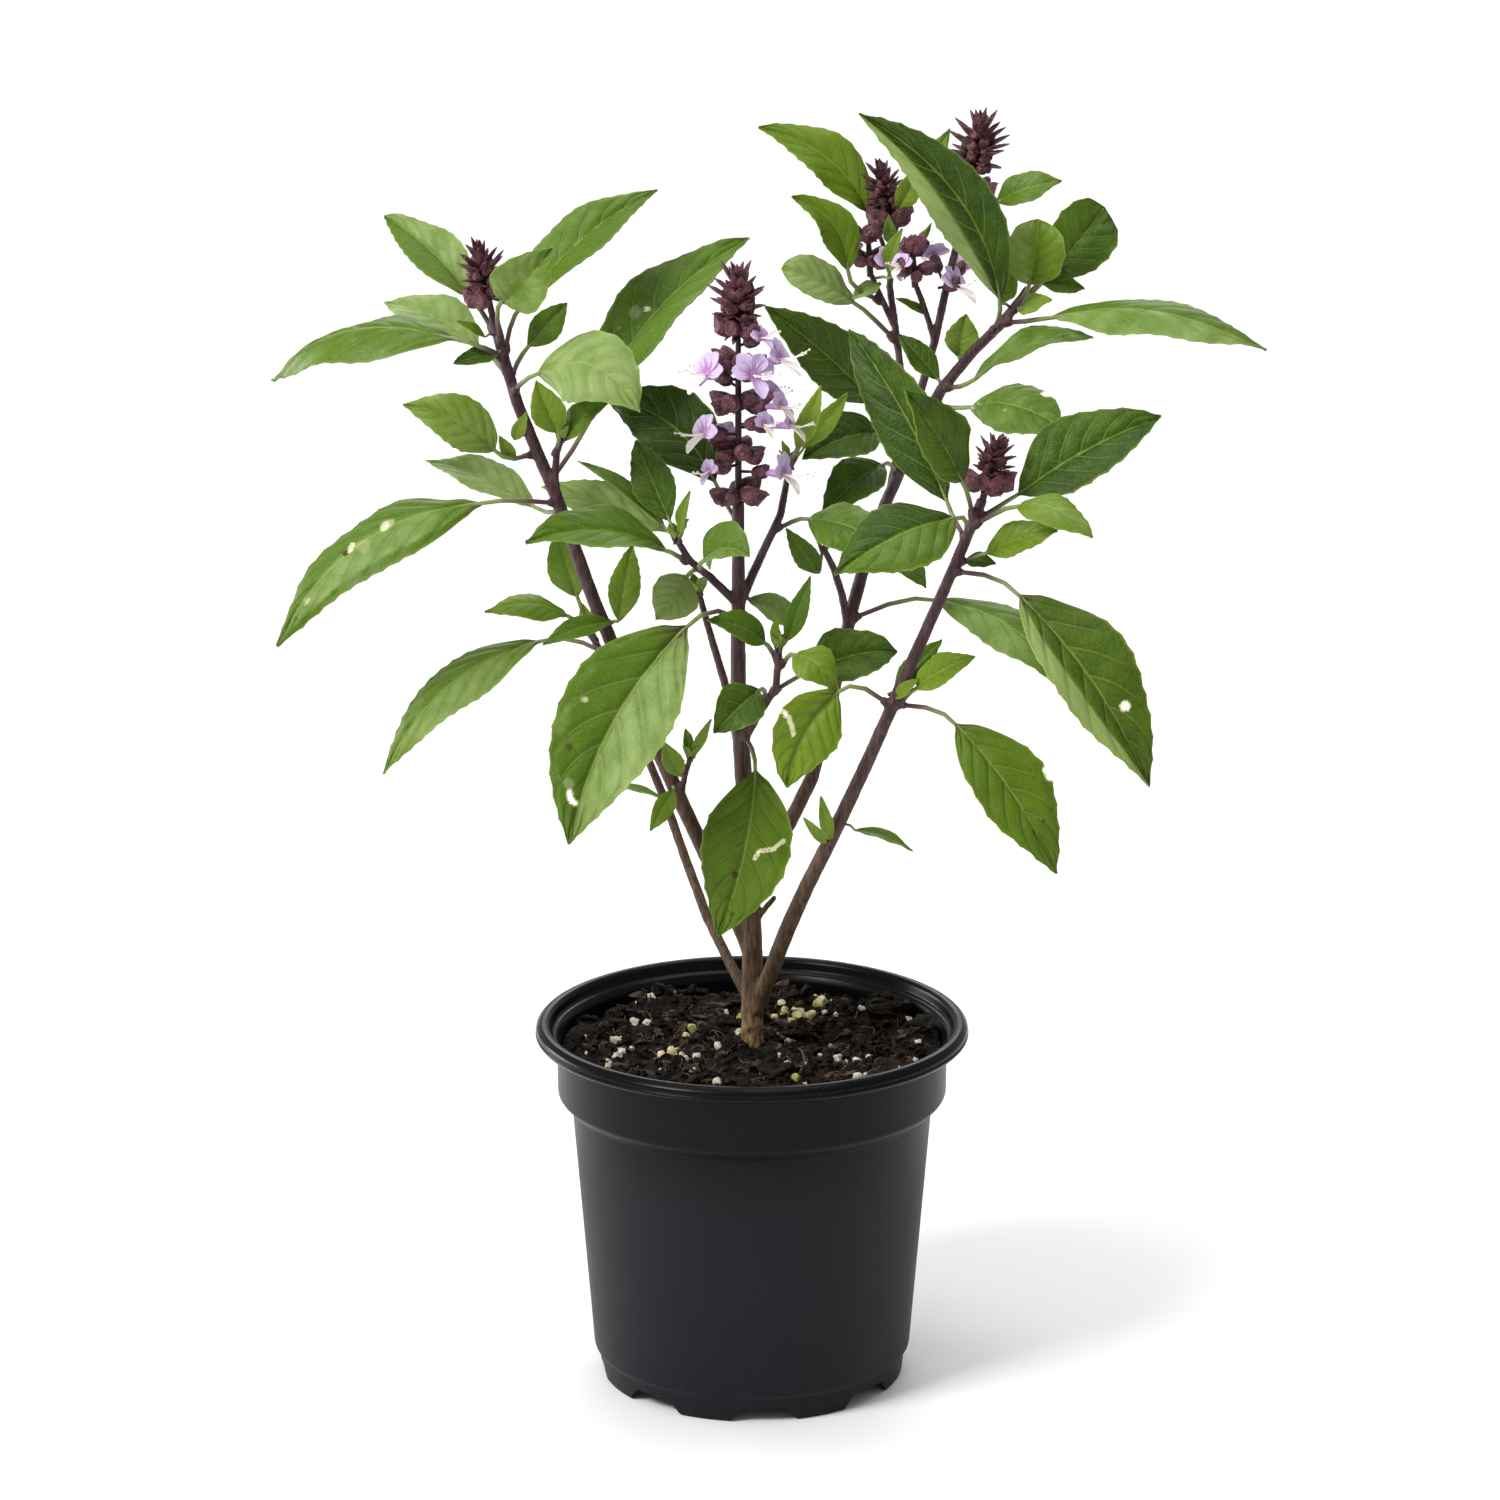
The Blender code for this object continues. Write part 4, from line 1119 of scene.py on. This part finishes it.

# %% [markdown]
# ## The large leaves
# Every large leaf has a solid of its own, and each is grown on its spine as one piece. The table
# gives its marks: how light it is, how young, its strips of painted light and shade on one half,
# and its holes and scars.

# %% Grow the large leaves
# The two halves of a blade, for strips of painted light and shade.
RIGHT, LEFT = (0.02, 1.3), (-1.3, -0.02)
MARKS = {
    "left_crown": Marks(0.5, strips=[(*RIGHT, 0.3)]),
    "left_curled": Marks(0.66, 0.1, strips=[(*LEFT, 0.12)]),
    "left_upright": Marks(0.46, strips=[(*LEFT, 0.16)]),
    "left_long": Marks(0.46, strips=[(*RIGHT, -0.1), (-1.3, -0.3, 0.1)]),
    "left_behind": Marks(0.8),
    "left_inner": Marks(0.42),
    "left_broad": Marks(0.82),
    "left_tall": Marks(0.36, strips=[(*RIGHT, 0.12)],
        scars=[(-0.2, 0.46, 1.5, 0.75), (-0.4, 0.43, 2.8, 0.3),
        (-0.5, 0.33, 1.0, 0.3), (-0.05, 0.5, 0.8, -0.6)]),
    "left_bright": Marks(0.72, 0.35),
    "left_narrow": Marks(0.8),
    "left_droop_top": Marks(0.5, strips=[(-0.75, 0.1, 0.22)],
        holes=[([(0.1, 0.37), (0.02, 0.385)], 0.5),
        ([(0.0, 0.54), (0.12, 0.52)], 0.4)],
        scars=[(0.1, 0.37, 2.8, 0.42), (-0.1, 0.48, 3.6, 0.28),
        (0.02, 0.56, 1.6, -0.8), (-0.2, 0.79, 1.8, 0.42),
        (-0.3, 0.87, 0.9, -0.5)]),
    "left_droop_low": Marks(0.58, 0.12, strips=[(*LEFT, 0.15)]),
    "left_shoot": Marks(0.5, 0.6),
    "thin_upright": Marks(0.66, 0.35),
    "thin_side": Marks(0.4, 0.3),
    "bud_long": Marks(0.42, strips=[(*LEFT, 0.16)]),
    "bud_folded": Marks(0.7, strips=[(*LEFT, -0.15)]),
    "bud_hanging": Marks(0.95),
    "centre_large": Marks(0.5, strips=[(*LEFT, 0.3), (0.75, 1.3, 0.08)],
        holes=[([(0.4, 0.8), (0.36, 0.825), (0.12, 0.835)], 0.55)],
        scars=[(0.6, 0.46, 0.9, 0.5), (0.58, 0.64, 1.4, -0.6),
        (0.45, 0.77, 2.2, 0.3)], flush=0.9, relief=1.5),
    "centre_behind": Marks(0.06),
    "fork_side": Marks(0.62, strips=[(*RIGHT, -0.2)]),
    "shoot_left": Marks(0.26),
    "shoot_right": Marks(0.28),
    "centre_hanging": Marks(0.24, 0.3, strips=[(*LEFT, 0.1)],
        holes=[([(-0.26, 0.5), (-0.32, 0.455), (-0.62, 0.43),
        (-0.82, 0.375)], 0.2)],
        scars=[(0.12, 0.62, 1.2, -0.9), (-0.3, 0.85, 1.6, -0.5),
        (-0.05, 0.84, 1.0, -0.4)]),
    "shoot_top_left": Marks(0.42),
    "shoot_bright": Marks(0.55, 0.45),
    "right_tall": Marks(0.12, strips=[(*RIGHT, 0.06)]),
    "right_midrib": Marks(0.26, strips=[(*LEFT, 0.2)]),
    "right_broad": Marks(0.14, strips=[(*LEFT, 0.12)]),
    "right_pale": Marks(0.66, 0.3),
    "right_front": Marks(0.2, strips=[(*LEFT, 0.4)]),
    "right_droop": Marks(0.22, 0.15, strips=[(0.5, 1.3, 0.8)],
        holes=[([(-0.35, 0.65)], 1.15)]),
    "right_low": Marks(0.36, 0.25, strips=[(*RIGHT, 0.16)],
        holes=[([(-1.04, 0.53)], 1.3), ([(-0.98, 0.49)], 0.8)],
        scars=[(-0.4, 0.71, 0.8, -1), (0.1, 0.735, 0.9, -0.6)]),
    "right_olive": Marks(0.26, 0.7, strips=[(*RIGHT, -0.1)],
        holes=[([(1.0, 0.42), (0.68, 0.44), (0.36, 0.53)], 0.26)],
        scars=[(0.1, 0.3, 0.8, -0.4), (-0.5, 0.7, 0.9, -0.4)]),
    "right_node_top": Marks(0.35, 0.6),
    "right_node_low": Marks(0.4, 0.6),
    "rear_dark": Marks(0.08, 0.16),
    "rear_upper": Marks(0.16, strips=[(*LEFT, 0.2)]),
    "rear_under": Marks(0.26),
    "back_blunt": Marks(1.0),
    "back_top": Marks(0.4, 0.4, strips=[(*RIGHT, 0.15)]),
    "back_fork": Marks(0.4, 0.45, strips=[(*LEFT, -0.1)]),
    "rear_great": Marks(0.14, strips=[(-1.3, -0.45, 0.8)]),
    "tall_side": Marks(0.6),
    "rear_round": Marks(0.52, 0.3, strips=[(*LEFT, 0.25)]),
    "rear_dark_round": Marks(0.24, strips=[(*LEFT, 0.14)]),
    "rear_low_side": Marks(0.62),
    "rear_long": Marks(0.42, strips=[(*RIGHT, 0.3)]),
    "rear_notched": Marks(0.62, holes=[([(-0.95, 0.72)], 1.3), ([(0.1, 1.01)], 1.2)],
        scars=[(0.2, 0.08, 1.6, 0.7), (0.3, 0.5, 0.8, 0.4)]),
    "rear_droop": Marks(0.72, strips=[(*LEFT, -0.15)]),
}
FINE_CELL, LEAF_CELL = 0.42, 0.7
for index, node in enumerate(LEAF_NODES):
    marks, blade = MARKS[node.replace("leaf_", "")], blade_of(node)
    bm = bmesh.new()
    leaf_layers(bm)
    add_blade(bm, blade, marks, 500 + index, FINE_CELL if marks.holes else LEAF_CELL)
    add_stalk(bm, blade, STALKS[node], marks)
    faces = len(bm.faces)
    piece(node.replace("leaf_", "blade_"), bm, LEAF_FINISHES, [node])
print("large leaves grown; the last has", faces, "faces")

# %% [markdown]
# ## Small leaves
# Each joint and each shoot tip carries small young leaves, from a few millimetres long. They are
# grown by the same functions as the large ones, from their two ends, and their stalks reach back
# to the nearest point of the solid stems, so they hold on to the plant. One piece holds the small
# leaves of one branch.

# %% Grow the small leaves on their branches
STEM_TREE = BVHTree.FromBMesh(merged_copy("stems"))
FRONT, FORWARD_UP, UP_FRONT = (0, -1, 0.1), (0, -1, 1), (0, -0.6, 2)
DARK, MIDDLE, PALE = Marks(0.22), Marks(0.45), Marks(0.8)
FRESH, BRIGHT = Marks(0.6, 0.45), Marks(0.7, 0.8)
SMALL_LEAVES = {
    "left": [
        ((-73, -4, 315), (-86, -10, 313), 6, FORWARD_UP, DARK),
        ((-77, -6, 320), (-85, -8, 325), 3, FORWARD_UP, MIDDLE),
        ((-69, -8, 290), (-65, -12, 299), 4, FRONT, FRESH),
        ((-69, -8, 284), (-73, -12, 292), 4, FRONT, BRIGHT),
        ((-55, -8, 290), (-41, -14, 303), 9, FORWARD_UP, MIDDLE),
        ((-41, -8, 236), (-61, -16, 231), 7, FORWARD_UP, MIDDLE),
        ((-39, -8, 236), (-35, -4, 258), 9, FRONT, FRESH),
        ((-21, -9, 189), (-26, -14, 201), 6, FRONT, FRESH),
        ((-18, -10, 195), (-12, -10, 207), 3, FRONT, FRESH),
        ((-23, -8, 185), (-30, -14, 174), 6, FRONT, FRESH),
        ((-26, -4, 181), (-45, 4, 183), 3, UP_FRONT, MIDDLE)],
    "centre": [
        ((10, -9, 230), (17, -14, 251), 6, FRONT, MIDDLE),
        ((8, -9, 228), (7, -9, 238), 4, (-1, -1, 0), FRESH),
        ((20, 14, 245), (10, 8, 260), 7, FRONT, MIDDLE),
        ((-1, 3, 240), (15, 8, 230), 9, FORWARD_UP, PALE),
        ((-21, -13, 263), (-18, -18, 277), 4, (-1, -1, 0), FRESH),
        ((-24, -8, 266), (-34, 6, 287), 12, FRONT, DARK),
        ((-25, -8, 264), (-51, 10, 280), 6, UP_FRONT, MIDDLE),
        ((-25, -3, 262), (-62, 16, 271), 14, FORWARD_UP, PALE),
        ((13, 2, 285), (20, -8, 306), 6, FRONT, BRIGHT),
        ((15, 4, 285), (28, 6, 301), 6, FRONT, BRIGHT)],
    "right": [
        ((41, -27, 219), (55, -22, 234), 7, FORWARD_UP, MIDDLE),
        ((41, -29, 218), (48, -33, 225), 4, FORWARD_UP, FRESH),
        ((61, -29, 259), (70, -32, 259), 5, FORWARD_UP, DARK),
        ((23, -22, 173), (20, -26, 188), 4, FRONT, FRESH),
        ((22, -22, 172), (15, -24, 181), 3, FRONT, FRESH),
        ((30, -23, 177), (47, -28, 172), 5, UP_FRONT, MIDDLE)],
    "rear": [
        ((46, 78, 344), (60, 82, 367), 8, FRONT, FRESH),
        ((44, 76, 343), (52, 70, 359), 7, FRONT, BRIGHT),
        ((42, 67, 324), (45, 62, 340), 6, (-1, -1, 0), FRESH),
        ((42, 73, 333), (41, 67, 343), 4, FRONT, FRESH),
        ((46, 75, 331), (54, 70, 340), 4, (1, -1, 0), FRESH),
        ((53, 60, 314), (43, 56, 320), 3, FORWARD_UP, DARK),
        ((39, 74, 321), (30, 70, 317), 5, FORWARD_UP, PALE),
        ((74, 36, 322), (77, 30, 335), 6, FRONT, FRESH),
        ((79, 34, 320), (88, 26, 325), 7, FORWARD_UP, BRIGHT),
        ((86, 42, 327), (99, 44, 325), 7, FORWARD_UP, MIDDLE),
        ((62, 50, 303), (64, 50, 316), 10, FRONT, FRESH),
        ((56, 51, 296), (44, 56, 309), 8, FORWARD_UP, DARK),
        ((41, 54, 294), (25, 58, 308), 9, FORWARD_UP, DARK),
        ((37, 42, 246), (52, 26, 238), 12, UP_FRONT, MIDDLE)],
}
SHOOT_TIPS = [(-22, -10, 261), (11, 8, 279), (8, -8, 228), (-55, -10, 291), (-18, -9, 195),
              (-16, 28, 236), (21, 28, 250), (-50, 45, 222)]


def small_leaf(bm, foot, tip, width, faces, marks, seed):
    """A small leaf from its two ends and width in millimetres."""
    rng = random.Random(seed)
    foot, tip = Vector(foot) * MM, Vector(tip) * MM
    blade = blade_between(foot, tip, width * MM, faces, rng.uniform(0.03, 0.14), 0.22)
    root, normal, _, _ = STEM_TREE.find_nearest(foot)
    start = root + normal * 0.3 * MM
    stalk = [start, start.lerp(foot, 0.5) + Vector((0, 0, 0.4 * MM)), start.lerp(foot, 0.85)]
    fitted = Marks(marks.tint + rng.uniform(-0.06, 0.06), marks.young, flush=0.7)
    add_blade(bm, blade, fitted, seed, 0.6)
    add_stalk(bm, blade, stalk, fitted, min(0.6, 0.25 + width * 0.035))


def shoot_tip(bm, place, seed):
    """Four tiny leaves that clasp the end of a shoot."""
    rng = random.Random(seed)
    place = Vector(place)
    for i in range(4):
        angle = TAU * (i / 4 + rng.uniform(-0.05, 0.05)) + 0.6
        outward = Vector((math.cos(angle), math.sin(angle), 0))
        reach = rng.uniform(3.5, 7.5)
        foot = place + outward * 1.0
        tip = place + outward * reach * 0.7 + Vector((0, 0, reach))
        small_leaf(bm, foot, tip, rng.uniform(2.4, 3.6), -outward + Vector((0, 0, 0.4)),
                   rng.choice((FRESH, BRIGHT, MIDDLE)), seed * 10 + i)


for number, (branch, leaves) in enumerate(SMALL_LEAVES.items()):
    bm = bmesh.new()
    leaf_layers(bm)
    for index, leaf in enumerate(leaves):
        small_leaf(bm, *leaf, 700 + 40 * number + index)
    print("small leaves,", branch, len(leaves), "leaves,", len(bm.faces), "faces")
    piece("small_leaves_" + branch, bm, LEAF_FINISHES)
bm = bmesh.new()
leaf_layers(bm)
for index, place in enumerate(SHOOT_TIPS):
    shoot_tip(bm, place, 60 + index)
piece("shoot_tips", bm, LEAF_FINISHES)

# %% [markdown]
# ## Flower spikes
# A basil spike is an axis with rings of calyces, small bell-shaped cups of dark purple, low ones
# spread out and high ones still packed behind pointed bracts. The bells could be turned, but
# they have a shield-like upper lobe, so a ring is extruded into a bell and its upper side drawn
# out. The rings' heights and widths are read from each spike's solid.

# %% Small sheets and bells
def small_sheet(bm, foot, ahead, up, length, width, outline, curl, cup, material, cells=(4, 5),
                thickness=0.2):
    """A petal or bract in millimetres: a tongue that curls towards up and is cupped."""
    uv = bm.loops.layers.uv.verify()
    ahead = ahead.normalized()
    side = ahead.cross(up).normalized()
    up = side.cross(ahead)
    made = bmesh.ops.create_grid(bm, x_segments=cells[0], y_segments=cells[1], size=1)["verts"]
    faces = list({face for vert in made for face in vert.link_faces})
    place = {vert: (vert.co.x, (vert.co.y + 1) / 2) for vert in made}
    for vert, (across, along) in place.items():
        angle = curl * along
        reach = length * (math.sin(angle) / curl if abs(curl) > 0.01 else along)
        lift = length * ((1 - math.cos(angle)) / curl if abs(curl) > 0.01 else 0)
        half = width / 2 * outline(along)
        vert.co = foot + (ahead * reach + side * across * half
                          + up * (lift + cup * across * across * half)) * MM
    for face in faces:
        face.material_index = material
        for loop in face.loops:
            across, along = place[loop.vert]
            loop[uv].uv = ((across + 1) / 2, along)
    thicken(bm, faces, thickness, material)


def round_lobe(v):
    """Half the width of a petal along its length."""
    return 0.32 + 0.68 * math.sin(math.pi * min(1, v * 0.98) ** 1.35) ** 0.75 if v < 1 else 0.25


def pointed(v):
    """Half the width of a bract along its length."""
    return max(0.0, (1 - v) ** 0.75 * (0.55 + 1.3 * v))


# How far along the bell, and how wide, as shares of its size; the last two turn inside.
BELL = [(0.0, 0.10), (0.1, 0.26), (0.32, 0.37), (0.62, 0.38), (0.86, 0.32), (0.76, 0.22),
        (0.5, 0.1)]


def bell(bm, foot, ahead, size, material=0):
    """A calyx: a ring extruded into a bell whose upper lobe stands out like a shield."""
    turn = Matrix.Translation(foot) @ ahead.to_track_quat("Z", "Y").to_matrix().to_4x4()
    made = bmesh.ops.create_circle(bm, cap_ends=True, segments=9, radius=1)["verts"]
    ring, used = made, set(made)
    shape = [vert.co.copy() for vert in made]
    cap = made[0].link_faces[0]
    for i, (reach, radius) in enumerate(BELL):
        if i:
            grown = bmesh.ops.extrude_face_region(bm, geom=[cap], use_keep_orig=i == 1)["geom"]
            cap = next(part for part in grown if isinstance(part, bmesh.types.BMFace))
            ring = match_ring(ring, list(cap.verts))
            used.update(ring)
        for vert, spot in zip(ring, shape):
            crest = max(0, spot.y) ** 2 * (0.24 if i in (3, 4) else 0)
            local = Vector((spot.x * radius * 1.05, spot.y * radius + crest * 0.45, reach + crest))
            vert.co = local * size * MM
    faces = list({face for vert in used for face in vert.link_faces})
    for face in faces:
        face.material_index = material
    bmesh.ops.recalc_face_normals(bm, faces=faces)
    bmesh.ops.transform(bm, matrix=turn, verts=list(used))


print("a bell has", len(BELL), "rings")

# %% [markdown]
# ## Rings of bracts and calyces
# The tip of a spike is a bud: rings of pointed bracts, each ring longer and more upright than the
# next one down. Below it the calyces stand in rings on short stalks. A seeded draw turns and tilts
# each one a little, as a perfect ring would look turned on a lathe.

# %% Place the rings on a spike
def spike_measures(node):
    """The foot and tip of a spike's axis, and each whorl as its share and radius."""
    bm = merged_copy(node)
    points = sorted((vert.co.copy() for vert in bm.verts), key=lambda point: point.z)
    bm.free()
    foot = middle([point for point in points if point.z < points[0].z + 0.6 * MM])
    tip = points[-1]
    axis = tip - foot
    whorls = {}
    for point in points:
        share = (point - foot).dot(axis) / axis.length_squared
        radius = (point - foot - axis * share).length / MM
        if radius > 2.0:
            key = round(share, 2)
            near = next((old for old in whorls if abs(old - key) < 0.045), key)
            whorls[near] = max(whorls.get(near, 0), radius)
    return foot, tip, sorted(whorls.items())


def around_axis(axis, angle):
    """A direction square to an axis at an angle round it."""
    side = axis.orthogonal().normalized()
    return Matrix.Rotation(angle, 3, axis) @ side


def leaning(axis, out, lean):
    """A direction that leans from square to the axis towards it, and the one square to that."""
    ahead = out * math.cos(lean) + axis * math.sin(lean)
    return ahead, axis * math.cos(lean) - out * math.sin(lean)


def rosette(bm, tip, axis, rng, drop, lean, length, width, count, turn):
    """A ring of pointed bracts whose points end at a drop below the tip of the spike."""
    centre = tip - axis * (drop + length * math.sin(lean)) * MM
    for i in range(count):
        out = around_axis(axis, TAU * (i + turn + rng.uniform(-0.25, 0.25)) / count)
        ahead, up = leaning(axis, out, lean + rng.uniform(-0.2, 0.2))
        small_sheet(bm, centre + out * 0.6 * MM, ahead, up, length * rng.uniform(0.85, 1.12),
                    width, pointed, 0.35, 0.8, 0, (2, 4), 0.3)
    return centre


# How far below the tip the points end, their lean, length, width and number, in millimetres.
ROSETTES = [(0.0, 1.2, 6.5, 2.8, 3), (1.4, 0.9, 8.0, 3.4, 5), (4.8, 0.62, 9.2, 3.6, 6),
            (9.0, 0.36, 9.4, 3.6, 7), (13.0, 0.16, 8.6, 3.4, 7), (16.5, -0.05, 7.0, 3.0, 7)]


def whorl(bm, centre, axis, rng, bells, lean, size, stem, turn):
    """A ring of calyces on short stalks, with a small bract below every other one."""
    for i in range(bells):
        out = around_axis(axis, TAU * (i + turn + rng.uniform(-0.16, 0.16)) / bells)
        ahead, up = leaning(axis, out, lean + rng.uniform(-0.2, 0.2))
        foot = centre + (out * 0.5 + ahead * stem + axis * rng.uniform(-1.5, 1.5)) * MM
        bell(bm, foot, ahead, size * rng.uniform(0.85, 1.15))
        tube(bm, [centre, foot + ahead * 0.4 * MM], [0.5 * MM, 0.45 * MM], 5, 1)
        if i % 2 == 0:
            low, high = leaning(axis, out, lean - 0.55)
            small_sheet(bm, centre + out * 0.5 * MM, low, high, size * 0.8, size * 0.36, pointed,
                        -0.4, 0.6, 0, (2, 4), 0.25)


def make_spike(node, seed):
    """Pack pointed bracts at the tip, then calyces, then the open whorls the solid has."""
    rng = random.Random(seed)
    foot, tip, whorls = spike_measures(node)
    axis, length = (tip - foot).normalized(), (tip - foot).length / MM
    bm = bmesh.new()
    bm.loops.layers.uv.verify()
    tube(bm, [foot - axis * 1.2 * MM] + [foot.lerp(tip, s) for s in (0.15, 0.4, 0.65, 0.92)],
         [1.05 * MM, 1.0 * MM, 0.95 * MM, 0.8 * MM, 0.4 * MM], 8, 1)
    packed = 0.0
    if node.startswith("spike"):
        scale = min(1.0, length / 27)
        for i, (drop, lean, reach, width, count) in enumerate(ROSETTES):
            centre = rosette(bm, tip, axis, rng, drop * scale, lean, reach * scale, width * scale,
                             count, 0.5 * (i % 2))
            if i > 1:
                whorl(bm, centre - axis * 0.8 * MM, axis, rng, 6, lean * 0.7, 3.6 * scale, 1.0, 0.3)
        packed = 21 * scale
    for i, (share, radius) in enumerate(whorls):
        drop = (1 - share) * length
        if drop > packed:
            lean = 0.45 - 0.012 * drop if packed else 0.1 + 0.75 * i / max(1, len(whorls) - 1)
            size = 6.2 if packed else 4.8
            whorl(bm, foot.lerp(tip, share), axis, rng, 7 if packed else 6, lean, size,
                  radius * 0.2, 0.5 * (i % 2))
    return bm


print("a spike's bud has", len(ROSETTES), "rings of bracts")

# %% [markdown]
# ## The spikes
# A calyx is a dull dark purple, and its fine hairs catch the light. The hairs are too small to
# model, so a fine noise gives them as relief and paints their glints as pale flecks, a painted
# highlight.

# %% Colour and grow the spikes
cup = Finish("dark_calyx", Roughness=0.62, Specular_IOR_Level=0.25)
hair = cup.noise(0.7, 3)
cup_tone = cup.noise(3.2, 3)
cup_colour = cup.blend(cup.smooth(cup_tone, 0.3, 0.7), srgb(54, 28, 36), srgb(112, 66, 78))
# Painted highlight: pale flecks where the fine hairs catch the light.
cup_colour = cup.blend(cup.smooth(hair, 0.52, 0.75) * 0.6, cup_colour, srgb(164, 128, 128))
cup_colour = cup.blend(cup.smooth(cup.noise(6, 2), 0.58, 0.72) * 0.4, cup_colour,
                       srgb(112, 96, 66))
cup.set("Base Color", cup_colour)
cup.bump(hair, 0.35, 0.9)

SPIKE_NODES = sorted(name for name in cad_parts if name.startswith(("spike", "flowers")))
for index, node in enumerate(SPIKE_NODES):
    bm = make_spike(node, 900 + index)
    print(node, len(bm.faces), "faces")
    piece(node.replace("spike_", "flower_spike_").replace("flowers_", "flower_head_"), bm,
          [cup, skin], [node], math.radians(75))

# %% [markdown]
# ## Open flowers
# A basil flower is a short tube with two lips: four rounded lobes stand up in a fan, one long lobe
# hangs down, and four white stamens with cream tips reach out between them. Each lobe is a tongue
# of a few faces that curls back. They open on the lower rings of a spike, and face outwards.

# %% Colours of a flower
petal = Finish("lilac_petal", Roughness=0.6, Specular_IOR_Level=0.15)
petal_along = petal.node("SeparateXYZ", None, {0: petal.node("UVMap")}, 1)
petal_across = petal.node("SeparateXYZ", None, {0: petal.node("UVMap")}, 0)
streak = petal.smooth((petal_across * 26).sine(), 0.2, 0.9) * petal.smooth(petal_along, 0.6, 0.15)
lilac = petal.blend(petal.noise(2.5, 3), srgb(182, 156, 204), srgb(222, 206, 232))
lilac = petal.blend(petal.smooth(petal_along, 0.35, 0.02) * 0.6, lilac, srgb(160, 84, 158))
petal.set("Base Color", petal.blend(streak * 0.7, lilac, srgb(158, 64, 142)))
petal.bump(petal.noise(0.6, 2), 0.1, 0.4)
white_petal = Finish("cream_petal", Roughness=0.6)
white_petal.set("Base Color", white_petal.blend(white_petal.noise(1.5, 2), srgb(226, 214, 206),
                                                srgb(246, 240, 236)))
filament = Finish("stamen", Roughness=0.6)
filament.set("Base Color", filament.blend(filament.noise(1.2, 2), srgb(206, 190, 160),
                                          srgb(244, 240, 228)))

print("petals, cream lips and stamens have their finishes")

# %% Make the flowers
FLOWERS = [
    # the mouth of the flower, the place on the axis it grows from, and its size
    ((-14, -9, 310), (-4, 0, 306), 1.0), ((1, -11, 310), (-4, 0, 307), 1.05),
    ((9, -6, 314), (-4, 0, 309), 0.95), ((3, -6, 320), (-4, 0, 316), 0.6),
    ((-15, -7, 292), (-4, 0, 290), 0.9), ((9, -7, 300), (-4, 0, 298), 0.7),
    ((12, -5, 294), (-4, 0, 292), 0.75), ((4, -9, 295), (-4, 0, 293), 0.6),
    ((10, -7, 280), (-4, 0, 279), 0.9), ((-13, -9, 281), (-4, 0, 281), 0.55),
    ((-12, 9, 307), (-4, 0, 304), 0.9), ((6, 10, 300), (-4, 0, 297), 0.85),
    ((-9, 11, 287), (-4, 0, 286), 0.8),
    ((42, 66, 329), (35, 74, 327), 0.85), ((62, 58, 324), (56, 61, 322), 1.0),
    ((54, 70, 331), (57, 61, 325), 0.8), ((66, 70, 328), (58, 61, 325), 0.8),
    ((30, 80, 330), (35, 74, 328), 0.7), ((44, 50, 331), (48, 56, 329), 0.6),
]


def make_flower(bm, mouth, base, size, seed):
    """A two-lipped flower at a place, on the calyx that holds it."""
    rng = random.Random(seed)
    size *= 1.3
    mouth, base = Vector(mouth) * MM, Vector(base) * MM
    out = mouth - base
    ahead = (out.normalized() + Vector((0, 0, 0.15))).normalized()
    side = ahead.cross(Vector((0, 0, 1))).normalized()
    up = side.cross(ahead).normalized()
    throat = mouth - ahead * 1.2 * size * MM
    cup_foot = base + out * 0.28
    bell(bm, cup_foot, (throat - cup_foot).normalized(), 5.4, 2)
    tube(bm, [base, cup_foot + out * 0.03], [0.5 * MM, 0.45 * MM], 5, 3)
    tube(bm, [cup_foot + out * 0.15, cup_foot.lerp(throat, 0.6), throat],
         [0.7 * MM, 0.9 * size * MM, 1.35 * size * MM], 7, 0)
    for angle in (22, 66, 114, 158):
        turn = math.radians(angle + rng.uniform(-7, 7))
        spread = side * math.cos(turn) + up * math.sin(turn)
        small_sheet(bm, throat + spread * 0.7 * size * MM, spread + ahead * 0.45, ahead,
                    4.6 * size * rng.uniform(0.9, 1.1), 3.9 * size, round_lobe,
                    -0.7 + rng.uniform(-0.2, 0.2), 0.25, 0)
    small_sheet(bm, throat - up * 0.6 * size * MM, ahead - up * 0.9, up, 6.2 * size, 3.4 * size,
                round_lobe, -0.5, 0.5, 0 if rng.random() < 0.6 else 1)
    for i in range(4):
        lean = (i - 1.5) * 0.22
        way = (ahead * 1.0 - up * 0.25 + side * lean).normalized()
        reach = way * (7.6 + rng.uniform(-1, 1)) * size * MM
        path = [throat, throat + way * 3.5 * size * MM - up * 0.4 * MM,
                throat + reach + up * rng.uniform(0, 1.2) * MM]
        tube(bm, path, [0.16 * MM, 0.15 * MM, 0.13 * MM], 4, 1)
        tip = bmesh.ops.create_icosphere(bm, subdivisions=1, radius=0.42 * MM,
                                         matrix=Matrix.Translation(path[-1]))["verts"]
        for face in {face for vert in tip for face in vert.link_faces}:
            face.material_index = 4


bm = bmesh.new()
bm.loops.layers.uv.verify()
for index, flower in enumerate(FLOWERS):
    make_flower(bm, *flower, 1200 + index)
print("flowers:", len(FLOWERS), "of", len(bm.faces) // len(FLOWERS), "faces each")
piece("open_flowers", bm, [petal, white_petal, cup, skin, filament])
